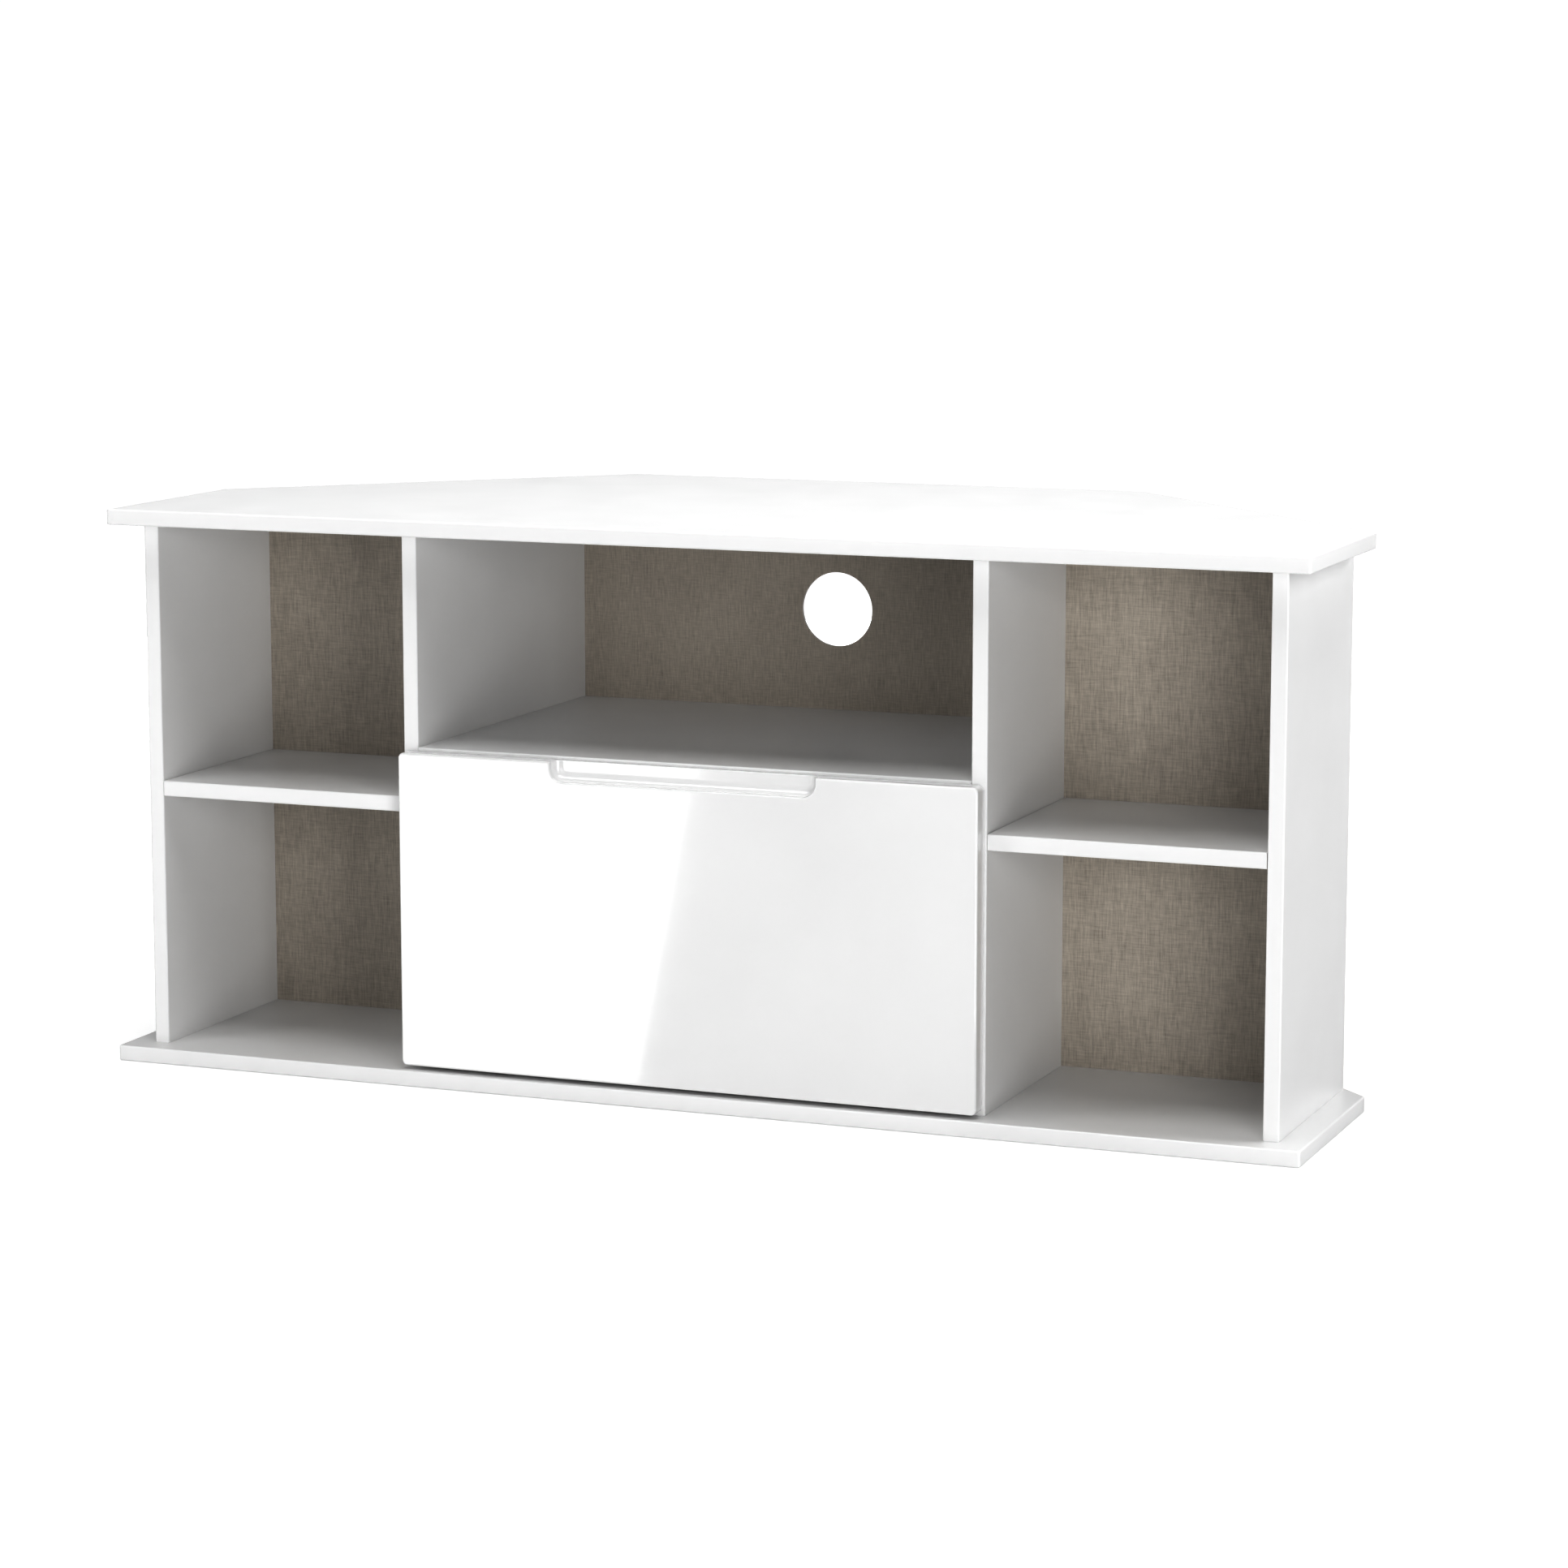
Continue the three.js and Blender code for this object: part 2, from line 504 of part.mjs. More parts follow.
// Channel screwed to the divider: web, two flanges, the bent-up stop and the front axle.
function cabinetRunner(side, sign) {
  const front = UPRIGHT_FRONT;
  const rear = front + RUNNER_LENGTH;
  const flangeInner = LEG_OUTER_X + 1;
  const stopRear = DRAWER_ROLLER_DEPTH - DRAWER_TRAVEL - DRAWER_ROLLER_RADIUS - STOP_HEADROOM;
  const web = blockBetween([sign * WEB_INNER_X, front, CHANNEL_Z], [sign * WEB_OUTER_X, rear, CHANNEL_TOP]);
  const lower = blockBetween(
    [sign * flangeInner, front, CHANNEL_Z], [sign * WEB_OUTER_X, rear, CHANNEL_Z + STEEL]);
  const upper = blockBetween(
    [sign * (flangeInner + 1), front, CHANNEL_TOP - STEEL], [sign * WEB_OUTER_X, rear, CHANNEL_TOP]);
  const stop = blockBetween(
    [sign * (flangeInner + 1), stopRear - STOP_THICKNESS, CHANNEL_Z + STEEL / 2],
    [sign * (WEB_INNER_X - STEEL), stopRear, CHANNEL_Z + STOP_HEIGHT]);
  const spindle = axle(sign * WEB_INNER_X, inward(sign), CABINET_ROLLER_DEPTH, CABINET_ROLLER_Z);
  const pressed = join([web, lower, upper, stop, spindle]);
  add(`cabinet_runner_${side}`, cut(pressed, holesIn[`cabinet_runner_${side}`]), coatedSteel);
}

// Rail on the drawer: a flange under the side, an upright leg, the rail and the rear axle.
function drawerRunner(side, sign) {
  const front = DRAWER_FRONT_BACK + 1;
  const flangeTop = DRAWER_SIDE_Z - SEAT_GAP;
  const railRear = DRAWER_ROLLER_DEPTH - DRAWER_ROLLER_RADIUS - 2 * STEEL;
  const flange = blockBetween(
    [sign * DRAWER_INNER_X, front, flangeTop - STEEL], [sign * LEG_OUTER_X, DRAWER_REAR, flangeTop]);
  const leg = blockBetween(
    [sign * LEG_INNER_X, front, flangeTop - STEEL], [sign * LEG_OUTER_X, DRAWER_REAR, RAIL_Z + STEEL]);
  const rail = blockBetween(
    [sign * LEG_INNER_X, front, RAIL_Z], [sign * (WEB_INNER_X - STEEL), railRear, RAIL_Z + STEEL]);
  const spindle = axle(sign * LEG_OUTER_X, outward(sign), DRAWER_ROLLER_DEPTH, DRAWER_ROLLER_Z);
  add(`drawer_runner_${side}`, join([flange, leg, rail, spindle]), coatedSteel);
}

// Nylon roller: a ring with rounded rims, turning on an axle along X.
function roller(name, radius, x, depth, z) {
  const half = ROLLER_WIDTH / 2;
  const rim = 0.8;
  const profile = [
    [ROLLER_BORE, -half], [radius - rim, -half], [radius, rim - half],
    [radius, half - rim], [radius - rim, half], [ROLLER_BORE, half], [ROLLER_BORE, -half],
  ];
  add(name, turned(profile, "+x", ROLLER_FACETS), nylon, [x, FRONT_Y + depth, z]);
}

function rollers(side, sign) {
  const offset = RIVET_HEAD + FIXING_CLEARANCE + ROLLER_WIDTH / 2;
  const cabinetX = sign * (WEB_INNER_X - offset);
  const drawerX = sign * (LEG_OUTER_X + offset);
  roller(`cabinet_roller_${side}`, CABINET_ROLLER_RADIUS, cabinetX, CABINET_ROLLER_DEPTH, CABINET_ROLLER_Z);
  roller(`drawer_roller_${side}`, DRAWER_ROLLER_RADIUS, drawerX, DRAWER_ROLLER_DEPTH, DRAWER_ROLLER_Z);
}

// ---------------------------------------------------------------- assembly

dowelAndScrewUprights();
dowelCentreShelf();
pinSideShelves();
screwRunners();
grooveDividers();

sixSidedBoard("base_board", 0);
sixSidedBoard("top_board", UPRIGHT_TOP);
uprights.forEach(upright);
centreShelf();
centreBack();
drawerFront();
drawerBack();
drawerBottom();
for (const [side, sign] of SIDES) {
  sideShelf(side, sign);
  sideBack(side, sign);
  drawerSide(side, sign);
  cabinetRunner(side, sign);
  drawerRunner(side, sign);
  rollers(side, sign);
}

export default cabinet;
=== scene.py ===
import math

import bmesh
import bpy
import numpy as np
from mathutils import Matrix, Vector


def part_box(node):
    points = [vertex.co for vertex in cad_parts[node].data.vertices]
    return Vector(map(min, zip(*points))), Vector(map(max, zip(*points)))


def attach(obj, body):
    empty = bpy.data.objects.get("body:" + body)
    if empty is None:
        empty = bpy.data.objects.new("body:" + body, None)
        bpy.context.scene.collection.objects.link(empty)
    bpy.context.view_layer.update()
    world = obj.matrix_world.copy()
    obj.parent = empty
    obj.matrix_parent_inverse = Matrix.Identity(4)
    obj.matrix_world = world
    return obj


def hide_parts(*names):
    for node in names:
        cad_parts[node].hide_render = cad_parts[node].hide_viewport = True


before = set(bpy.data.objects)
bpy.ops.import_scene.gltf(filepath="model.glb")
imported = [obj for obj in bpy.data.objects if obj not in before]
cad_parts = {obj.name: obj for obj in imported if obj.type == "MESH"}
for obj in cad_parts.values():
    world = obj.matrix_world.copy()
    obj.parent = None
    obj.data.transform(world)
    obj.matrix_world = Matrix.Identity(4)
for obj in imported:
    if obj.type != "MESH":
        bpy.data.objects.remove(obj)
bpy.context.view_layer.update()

# ---------------------------------------------------------------- base board and top board
# Two six-sided boards of 15 mm chipboard faced with white melamine. A 2 mm ABS strip is glued
# round every edge and its two corners are scraped round. The base is drilled from below for the
# long screws that hold the uprights, the top from below for their dowels.
MM = 0.001
SIDE_EDGE = 230 * MM  # straight part of each short side, before the 45 degree rear corner
REAR_CORNER = 315 * MM
EDGING = 2.0 * MM  # thickness of the ABS strip, which is how far it shows on the face
GLUE_LINE = 0.15 * MM
ROUNDED = 1.5 * MM  # radius of the strip's scraped corners
PLAN_CORNER = 2.5 * MM
ARC_STEPS = 6

# turns a shape drawn as across, along and height so that its height runs along the named axis
TURNS = {
    "+z": np.eye(3),
    "+x": np.array([[0, 0, 1], [1, 0, 0], [0, 1, 0]]),
    "-x": np.array([[0, 0, -1], [1, 0, 0], [0, -1, 0]]),
    "+y": np.array([[0, 1, 0], [0, 0, 1], [1, 0, 0]]),
}


def linear(code):
    """Linear colour of an sRGB hex code: (c / 12.92), or ((c + 0.055) / 1.055) to the 2.4."""
    part = np.array([int(code[i : i + 2], 16) for i in (1, 3, 5)]) / 255
    bright = ((part + 0.055) / 1.055) ** 2.4
    return (*np.where(part <= 0.04045, part / 12.92, bright), 1.0)


def add_node(tree, kind, values=None, links=None, **settings):
    """Adds one node, gives it its settings and input values, and links its inputs."""
    node = tree.nodes.new(kind)
    for setting, value in settings.items():
        setattr(node, setting, value)
    for socket, value in (values or {}).items():
        node.inputs[socket].default_value = value
    for socket, source in (links or {}).items():
        tree.links.new(source, node.inputs[socket])
    return node


def new_finish(name, roughness, **shader_values):
    """A material, its node tree, its shader and a node that gives the object coordinates."""
    finish = bpy.data.materials.new(name)
    finish.use_nodes = True
    tree = finish.node_tree
    shader = tree.nodes["Principled BSDF"]
    shader.inputs["Roughness"].default_value = roughness
    for socket, value in shader_values.items():
        shader.inputs[socket.replace("_", " ")].default_value = value
    place = add_node(tree, "ShaderNodeTexCoord").outputs["Object"]
    return finish, tree, shader, place


def grain(tree, place, size, stretch=(1, 1, 1), detail=2.0):
    """Noise whose blotches are about size metres across, longer where stretch is above 1."""
    scale = [1 / part for part in stretch]
    moved = add_node(tree, "ShaderNodeMapping", {"Scale": scale}, {"Vector": place})
    noise = {"Scale": 1 / size, "Detail": detail, "Roughness": 0.55}
    blotches = add_node(tree, "ShaderNodeTexNoise", noise, {"Vector": moved.outputs["Vector"]})
    return blotches.outputs["Fac"]


def between(tree, factor, low, high, start=0.3, end=0.7):
    """A colour or grey that goes from low to high as factor goes from start to end."""
    ramp = add_node(tree, "ShaderNodeValToRGB", links={"Fac": factor})
    for stop, position, colour in zip(ramp.color_ramp.elements, (start, end), (low, high)):
        stop.position = position
        stop.color = linear(colour) if isinstance(colour, str) else (colour, colour, colour, 1)
    return ramp.outputs["Color"]


def painted(tree, factor, under, over):
    """A colour over another: all of the one under where factor is 0, all of over where it is 1."""
    mix = add_node(tree, "ShaderNodeMix", data_type="RGBA")
    factor_in, under_in, over_in = (mix.inputs[socket] for socket in (0, 6, 7))
    tree.links.new(factor, factor_in)
    tree.links.new(under, under_in)
    over_in.default_value = linear(over)
    return mix.outputs[2]


def pressed(tree, shader, height, depth, strength=1.0):
    """Relief in the surface: height, from 0 to 1, stands for depth metres."""
    values = {"Strength": strength, "Distance": depth}
    bump = add_node(tree, "ShaderNodeBump", values, {"Height": height})
    tree.links.new(bump.outputs["Normal"], shader.inputs["Normal"])


# White melamine-faced chipboard, its printed paper film pressed against a pearl-textured steel
# plate. The pearl breaks up reflections, and the ABS strip along the edges is a little smoother
# and whiter, with a hairline of glue where it meets the film.
def melamine_finish():
    finish, tree, shader, place = new_finish("white_melamine_pearl_pressed", 0.4, IOR=1.5)
    cloud = grain(tree, place, 90 * MM)
    film = between(tree, cloud, "#e4e4e4", "#e6e6e6")
    strip = add_node(tree, "ShaderNodeAttribute", attribute_name="edging").outputs["Fac"]
    body = painted(tree, strip, film, "#eaeaea")
    # 1 in the middle of the strip of mesh between film and ABS, 0 on both
    other = add_node(tree, "ShaderNodeMath", {0: 1.0}, {1: strip}, operation="SUBTRACT")
    joint = add_node(
        tree, "ShaderNodeMath", links={0: strip, 1: other.outputs[0]}, operation="MULTIPLY"
    )
    line = add_node(tree, "ShaderNodeMath", {1: 2.4}, {0: joint.outputs[0]}, operation="MULTIPLY")
    tree.links.new(painted(tree, line.outputs[0], body, "#bdbab2"), shader.inputs["Base Color"])
    # the real pearl is about 0.4 mm across; it is drawn at 1.4 mm so that it shows
    pearl = grain(tree, place, 1.4 * MM)
    handled = grain(tree, place, 60 * MM, detail=4)
    tree.links.new(between(tree, handled, 0.38, 0.42), shader.inputs["Roughness"])
    pressed(tree, shader, pearl, 0.03 * MM, 0.6)
    return finish


# Raw chipboard, cut by the drill: only seen inside holes and grooves.
def chipboard_finish():
    finish, tree, shader, place = new_finish("chipboard_drilled", 0.9)
    chips = grain(tree, place, 2.5 * MM, detail=5)
    tree.links.new(between(tree, chips, "#8a6a45", "#d2b48a"), shader.inputs["Base Color"])
    pressed(tree, shader, chips, 0.3 * MM)
    return finish


def make_piece(name, points, faces, finishes, edging=None, sharp=35):
    """A mesh object: doubles merged, faces outwards, smooth but where they meet at over sharp
    degrees."""
    mesh = bpy.data.meshes.new(name)
    mesh.from_pydata(points.tolist(), [], faces)
    if edging is not None:
        marks = mesh.attributes.new("edging", "FLOAT", "POINT").data
        marks.foreach_set("value", edging.astype(np.float32))
    work = bmesh.new()
    work.from_mesh(mesh)
    bmesh.ops.remove_doubles(work, verts=work.verts, dist=0.001 * MM)
    bmesh.ops.recalc_face_normals(work, faces=work.faces)
    work.to_mesh(mesh)
    work.free()
    mesh.shade_smooth()
    mesh.set_sharp_from_angle(angle=math.radians(sharp))
    for finish in finishes:
        mesh.materials.append(finish)
    piece = bpy.data.objects.new(name, mesh)
    bpy.context.scene.collection.objects.link(piece)
    return piece


def outline_rings(corners, radii, insets, steps=ARC_STEPS):
    """Rings of a polygon drawn anticlockwise, each moved inwards by one inset.

    A corner of radius r is an arc about the point r inside both edges; the inset takes itself
    off that radius, and once the radius is used up the ring's corner is a sharp mitre."""
    corners = np.asarray(corners, float)
    edge = np.roll(corners, -1, 0) - corners
    after = np.column_stack([edge[:, 1], -edge[:, 0]]) / np.linalg.norm(edge, axis=1)[:, None]
    before = np.roll(after, 1, 0)
    mitre = (before + after) / (1 + (before * after).sum(1))[:, None]
    turn = np.arctan2(
        before[:, 0] * after[:, 1] - before[:, 1] * after[:, 0], (before * after).sum(1)
    )
    count = np.where(np.asarray(radii) > 0, steps + 1, 1)
    which = np.repeat(np.arange(len(corners)), count)
    step = np.concatenate([np.arange(c) / max(c - 1, 1) for c in count])
    angle = np.arctan2(before[:, 1], before[:, 0])[which] + turn[which] * step
    normal = np.column_stack([np.cos(angle), np.sin(angle)])
    radius = np.asarray(radii, float)[which]
    centre = corners[which] - radius[:, None] * mitre[which]
    inset = np.asarray(insets, float)[:, None]
    out = np.maximum(radius - inset, 0)
    past = np.maximum(inset - radius, 0)
    return centre + out[..., None] * normal - past[..., None] * mitre[which]


def slab(name, corners, radii, rim, axis, finishes, edged=None):
    """A board: the outline carried along its rim, and closed by a flat face at each end.

    rim is rows of inset, height and edging, from the low face to the high one. edged says
    where the outline itself is edging, as a function of the ring's two coordinates."""
    rim = np.asarray(rim, float)
    rings = outline_rings(corners, radii, rim[:, 0])
    rows, count = rings.shape[:2]
    height = np.repeat(rim[:, 1], count)
    drawn = np.column_stack([rings.reshape(-1, 2), height])
    edging = np.repeat(rim[:, 2], count)
    if edged:
        edging = np.maximum(edging, edged(drawn[:, 0], drawn[:, 1]))
    low, along = np.meshgrid(np.arange(rows - 1) * count, np.arange(count), indexing="ij")
    nxt = (along + 1) % count
    quads = np.stack([low + along, low + nxt, low + count + nxt, low + count + along], -1)
    ring = list(range(count))
    faces = quads.reshape(-1, 4).tolist() + [ring[::-1], [(rows - 1) * count + i for i in ring]]
    return make_piece(name, drawn @ TURNS[axis].T, faces, finishes, edging)


def scraped_rim(low, high, radius=ROUNDED, strip=EDGING):
    """Section through an edge with both corners rounded: flat, quarter circle, upright, quarter
    circle, flat. The strip's rows are marked as edging."""
    t = np.linspace(0, math.pi / 2, ARC_STEPS + 1)
    inset = radius * (1 - np.sin(t))
    rise = radius * (1 - np.cos(t))
    under = [(strip + GLUE_LINE, low, 0), (strip, low, 1)]
    under += [(i, low + r, 1) for i, r in zip(inset, rise)]
    over = [(i, low + high - h, e) for i, h, e in under[::-1]]
    return under + over


def turned(profile, place, axis, facets=32, closed=False, hexagon=(), pitch=0, thread=0):
    """Points and faces of a piece turned on a lathe: radius and height in rows, carried round.

    Rows named in hexagon follow a hexagon instead of a circle, with radius across its flats.
    Where thread is above 0, a ridge of that height climbs by pitch each turn between the rows
    whose third number is 1: the ridge is highest where height / pitch - turn is a whole number
    and a half."""
    profile = np.array([(*row, 0)[:3] for row in profile], float)
    angle = np.arange(facets) * 2 * math.pi / facets
    radius = np.repeat(profile[:, :1], facets, 1)
    for row in hexagon:
        radius[row] = profile[row, 0] / np.cos(angle % (math.pi / 3) - math.pi / 6)
    height = np.repeat(profile[:, 1:2], facets, 1)
    if thread:
        phase = (height / pitch - angle / (2 * math.pi)) % 1
        ridge = np.clip(1 - 4 * np.abs(phase - 0.5), 0, 1)
        radius = radius + thread * ridge * profile[:, 2:3]
    drawn = np.stack([radius * np.cos(angle), radius * np.sin(angle), height], -1)
    rows = len(profile)
    bands = rows if closed else rows - 1
    row, along = np.meshgrid(np.arange(bands), np.arange(facets), indexing="ij")
    upper = (row + 1) % rows
    nxt = (along + 1) % facets
    quads = np.stack(
        [row * facets + along, row * facets + nxt, upper * facets + nxt, upper * facets + along], -1
    )
    points = drawn.reshape(-1, 3) @ TURNS[axis].T + np.asarray(place)
    return points, quads.reshape(-1, 4).tolist()


def drilled(piece, tools):
    """Cuts the tools' turned shapes out of a board, so that each fixing has its hole."""
    points = np.concatenate([tool[0] for tool in tools])
    starts = np.cumsum([0] + [len(tool[0]) for tool in tools])
    faces = [[i + start for i in face] for tool, start in zip(tools, starts) for face in tool[1]]
    cutter = make_piece(piece.name + "_bits", points, faces, [CHIPBOARD])
    cut = piece.modifiers.new("bits", "BOOLEAN")
    cut.operation, cut.solver, cut.material_mode = "DIFFERENCE", "EXACT", "TRANSFER"
    cut.object = cutter
    graph = bpy.context.evaluated_depsgraph_get()
    bored = bpy.data.meshes.new_from_object(piece.evaluated_get(graph))
    bored.set_sharp_from_angle(angle=math.radians(35))
    piece.modifiers.clear()
    piece.data = bored
    bpy.data.objects.remove(cutter)


MELAMINE = melamine_finish()
CHIPBOARD = chipboard_finish()
CLEARANCE = 0.3 * MM


def stand_in(piece, body, slot, *nodes):
    """The piece rides on its body and stands for its CAD nodes; slot is not used."""
    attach(piece, body)
    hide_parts(*nodes)


def middle(node):
    """The middle of a CAD node's box."""
    low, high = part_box(node)
    return np.array((low + high) / 2)


def dowel_bit(node, axis):
    """A round hole a little wider and longer than the dowel in it."""
    low, high = (np.array(corner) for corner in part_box(node))
    half = (high - low).max() / 2 + CLEARANCE
    radius = (high - low).min() / 2 + CLEARANCE
    return turned([(0, -half), (radius, -half), (radius, half), (0, half)], middle(node), axis)


def screw_bit(node):
    """The stepped hole of a base screw: a wide mouth for the head, then the shank."""
    foot = middle(node)
    foot[2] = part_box(node)[0][2]
    section = [(0, -1.3), (5.3, -1.3), (5.3, 1.3), (3.7, 4.3), (3.7, 50.3), (0, 50.3)]
    return turned([(r * MM, h * MM) for r, h in section], foot, "+z")


def fixings(start):
    """The nodes whose names begin so, in order."""
    return [node for node in sorted(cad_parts) if node.startswith(start)]


def six_sided(node, tools):
    """The six-sided plan both boards share, carried up through the scraped rim."""
    low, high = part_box(node)
    x0, x1, y0, y1 = low.x, high.x, low.y, high.y
    corners = [
        (x0, y0), (x1, y0), (x1, y0 + SIDE_EDGE),
        (x1 - REAR_CORNER, y1), (x0 + REAR_CORNER, y1), (x0, y0 + SIDE_EDGE),
    ]
    radii = [PLAN_CORNER] * len(corners)
    board = slab(node + "_edged", corners, radii, scraped_rim(low.z, high.z), "+z", [MELAMINE])
    drilled(board, tools)
    stand_in(board, "cabinet", "white_board", node)


six_sided("base_board", [screw_bit(node) for node in fixings("base_screw")])
six_sided("top_board", [dowel_bit(node, "+z") for node in fixings("top_dowel")])

# ---------------------------------------------------------------- end panels and dividers
# Four uprights of the same board, edged along the front only. Their cut ends butt against the
# base and the top. Each is drilled for dowels, screws and shelf pins, and the dividers have a
# saw groove up the outer face for the side backs.
SAWN = 0.2 * MM  # the hair taken off a sawn arris
GROOVE_DEPTH = 4 * MM
GROOVE_WIDTH = 3.25 * MM
PIN_HOLE = 9 * MM
PIN_SHANK = 2.5 * MM


def sawn_rim(low, high, arris=SAWN):
    """Section through a sawn end: flat, a hair of chamfer, upright, chamfer, flat."""
    return [
        (2 * arris, low, 0), (arris, low, 0), (0, low + arris, 0),
        (0, high - arris, 0), (arris, high, 0), (2 * arris, high, 0),
    ]


def pin_bit(node, divider):
    """The blind hole for a shelf pin's thin end, on the side where the pin meets the board."""
    low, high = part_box(node)
    side = 1 if middle(node)[0] > 0 else -1
    inward = side if divider else -side
    face = low.x + PIN_HOLE if inward > 0 else high.x - PIN_HOLE
    axis = "-x" if inward > 0 else "+x"
    depth = PIN_HOLE + CLEARANCE
    radius = PIN_SHANK + CLEARANCE
    place = (face, middle(node)[1], middle(node)[2])
    return turned([(0, -MM), (radius, -MM), (radius, depth), (0, depth)], place, axis)


def upright(node, groove_y=None):
    """The upright's plan section, with its groove if it has one, carried up its height."""
    low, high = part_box(node)
    outer = 1 if low.x > 0 else -1
    x0, x1 = (low.x, high.x) if outer > 0 else (-high.x, -low.x)
    y0, y1 = low.y, high.y
    strip, film = y0 + EDGING, y0 + EDGING + GLUE_LINE
    # drawn for the right-hand side, where the outer face is at x1
    path = [(x0, y0), (x1, y0), (x1, strip), (x1, film)]
    if groove_y:
        path += [(x1, groove_y), (x1 - GROOVE_DEPTH, groove_y)]
        path += [(x1 - GROOVE_DEPTH, groove_y + GROOVE_WIDTH), (x1, groove_y + GROOVE_WIDTH)]
    path += [(x1, y1), (x0, y1), (x0, film), (x0, strip)]
    radii = [ROUNDED, ROUNDED] + [0] * (len(path) - 2)
    if outer < 0:
        path = [(-x, y) for x, y in path[::-1]]
        radii = radii[::-1]
    board = slab(
        node + "_edged", path, radii, sawn_rim(low.z, high.z), "+z", [MELAMINE],
        lambda x, y: (y < strip + 0.01 * MM).astype(float),
    )
    label = node.replace("end_panel", "end")
    side = node.split("_")[-1]
    tools = [dowel_bit(n, "+z") for n in fixings("top_dowel_" + label)]
    tools += [screw_bit(n) for n in fixings("base_screw_" + label)]
    reach = "inner" if groove_y else "outer"
    tools += [pin_bit(n, bool(groove_y)) for n in fixings(f"shelf_pin_{side}_{reach}")]
    if groove_y:
        tools += [dowel_bit(n, "+x") for n in fixings("centre_shelf_dowel_" + side)]
    drilled(board, tools)
    stand_in(board, "cabinet", "white_board", node)


for side in ("left", "right"):
    upright("end_panel_" + side)
    upright("divider_" + side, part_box("back_panel_" + side)[0].y)

# ---------------------------------------------------------------- shelves
# The centre shelf is dowelled between the dividers and carries the dividers' front line. The
# two side shelves are loose, cut half a millimetre short at each end, and rest on steel pins.
# All three are edged along the front.


def shelf(node, tools=()):
    """The shelf's section from front to back, carried across its width."""
    low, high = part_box(node)
    strip, film = low.y + EDGING, low.y + EDGING + GLUE_LINE
    path = [
        (low.y, low.z), (strip, low.z), (film, low.z), (high.y, low.z),
        (high.y, high.z), (film, high.z), (strip, high.z), (low.y, high.z),
    ]
    radii = [ROUNDED, 0, 0, 0, 0, 0, 0, ROUNDED]
    board = slab(
        node + "_edged", path, radii, sawn_rim(low.x, high.x), "+x", [MELAMINE],
        lambda y, z: (y < strip + 0.01 * MM).astype(float),
    )
    if tools:
        drilled(board, tools)
    stand_in(board, "cabinet", "white_board", node)


shelf("centre_shelf", [dowel_bit(node, "+x") for node in fixings("centre_shelf_dowel")])
shelf("side_shelf_left")
shelf("side_shelf_right")

# ---------------------------------------------------------------- backs
# Three sheets of 3 mm hardboard. The front is covered with paper printed like a grey-beige
# slubbed cloth and lacquered matt, the cut edges are painted white, and the back is left as
# the brown board. The middle sheet has a 74 mm hole for cables.
HOLE_RADIUS = 37 * MM
HOLE_FACETS = 96
WIRE_SPACING = 4.74 * MM  # the real press screen's is about 1.2 mm; drawn wider so that it shows


# Printed cloth on hardboard. Slubs run along both sets of threads, longer up the sheet than
# across it, over a fine plain weave, and all of it is faintly embossed.
def cloth_print_finish():
    finish, tree, shader, place = new_finish("cloth_print_foil_embossed", 0.62, IOR=1.46)
    # real threads are about 0.5 mm apart; they are drawn 1.1 mm apart so that they show
    warp = grain(tree, place, 1.1 * MM, (1, 1, 12), 3)
    weft = grain(tree, place, 1.1 * MM, (12, 1, 1), 3)
    slub = grain(tree, place, 1.6 * MM, (1, 1, 14), 2)
    cloud = grain(tree, place, 35 * MM, (1, 1, 2), 3)
    threads = add_node(tree, "ShaderNodeMix", {0: 0.45}, {2: warp, 3: weft})
    mixed = add_node(tree, "ShaderNodeMix", {0: 0.25}, {2: threads.outputs[0], 3: slub})
    tone = add_node(tree, "ShaderNodeMix", {0: 0.12}, {2: mixed.outputs[0], 3: cloud})
    ink = between(tree, tone.outputs[0], "#9c948b", "#c9c2b7", 0.34, 0.66)
    tree.links.new(ink, shader.inputs["Base Color"])
    tree.links.new(between(tree, threads.outputs[0], 0.56, 0.7), shader.inputs["Roughness"])
    pressed(tree, shader, threads.outputs[0], 0.12 * MM, 0.8)
    return finish


# Hardboard from behind: pressed brown wood fibre with the fine grid that the press screen left.
def hardboard_finish():
    finish, tree, shader, place = new_finish("hardboard_screen_pressed", 0.85)
    fibre = grain(tree, place, 3 * MM, (1, 1, 3), 6)
    patch = grain(tree, place, 120 * MM, detail=3)
    both = add_node(tree, "ShaderNodeMix", {0: 0.4}, {2: fibre, 3: patch})
    brown = between(tree, both.outputs[0], "#94754f", "#c4a27a")
    tree.links.new(brown, shader.inputs["Base Color"])
    # the bands repeat each pi / 10 of their scaled place
    wave = {"Scale": math.pi / 10 / WIRE_SPACING, "Distortion": 0.6, "Detail": 1.0}
    wires = [
        add_node(tree, "ShaderNodeTexWave", wave, {"Vector": place}, bands_direction=way)
        for way in ("X", "Z")
    ]
    links = {0: wires[0].outputs["Fac"], 1: wires[1].outputs["Fac"]}
    screen = add_node(tree, "ShaderNodeMath", links=links, operation="MULTIPLY")
    pressed(tree, shader, screen.outputs[0], 0.15 * MM)
    return finish


CLOTH_PRINT = cloth_print_finish()
HARDBOARD = hardboard_finish()


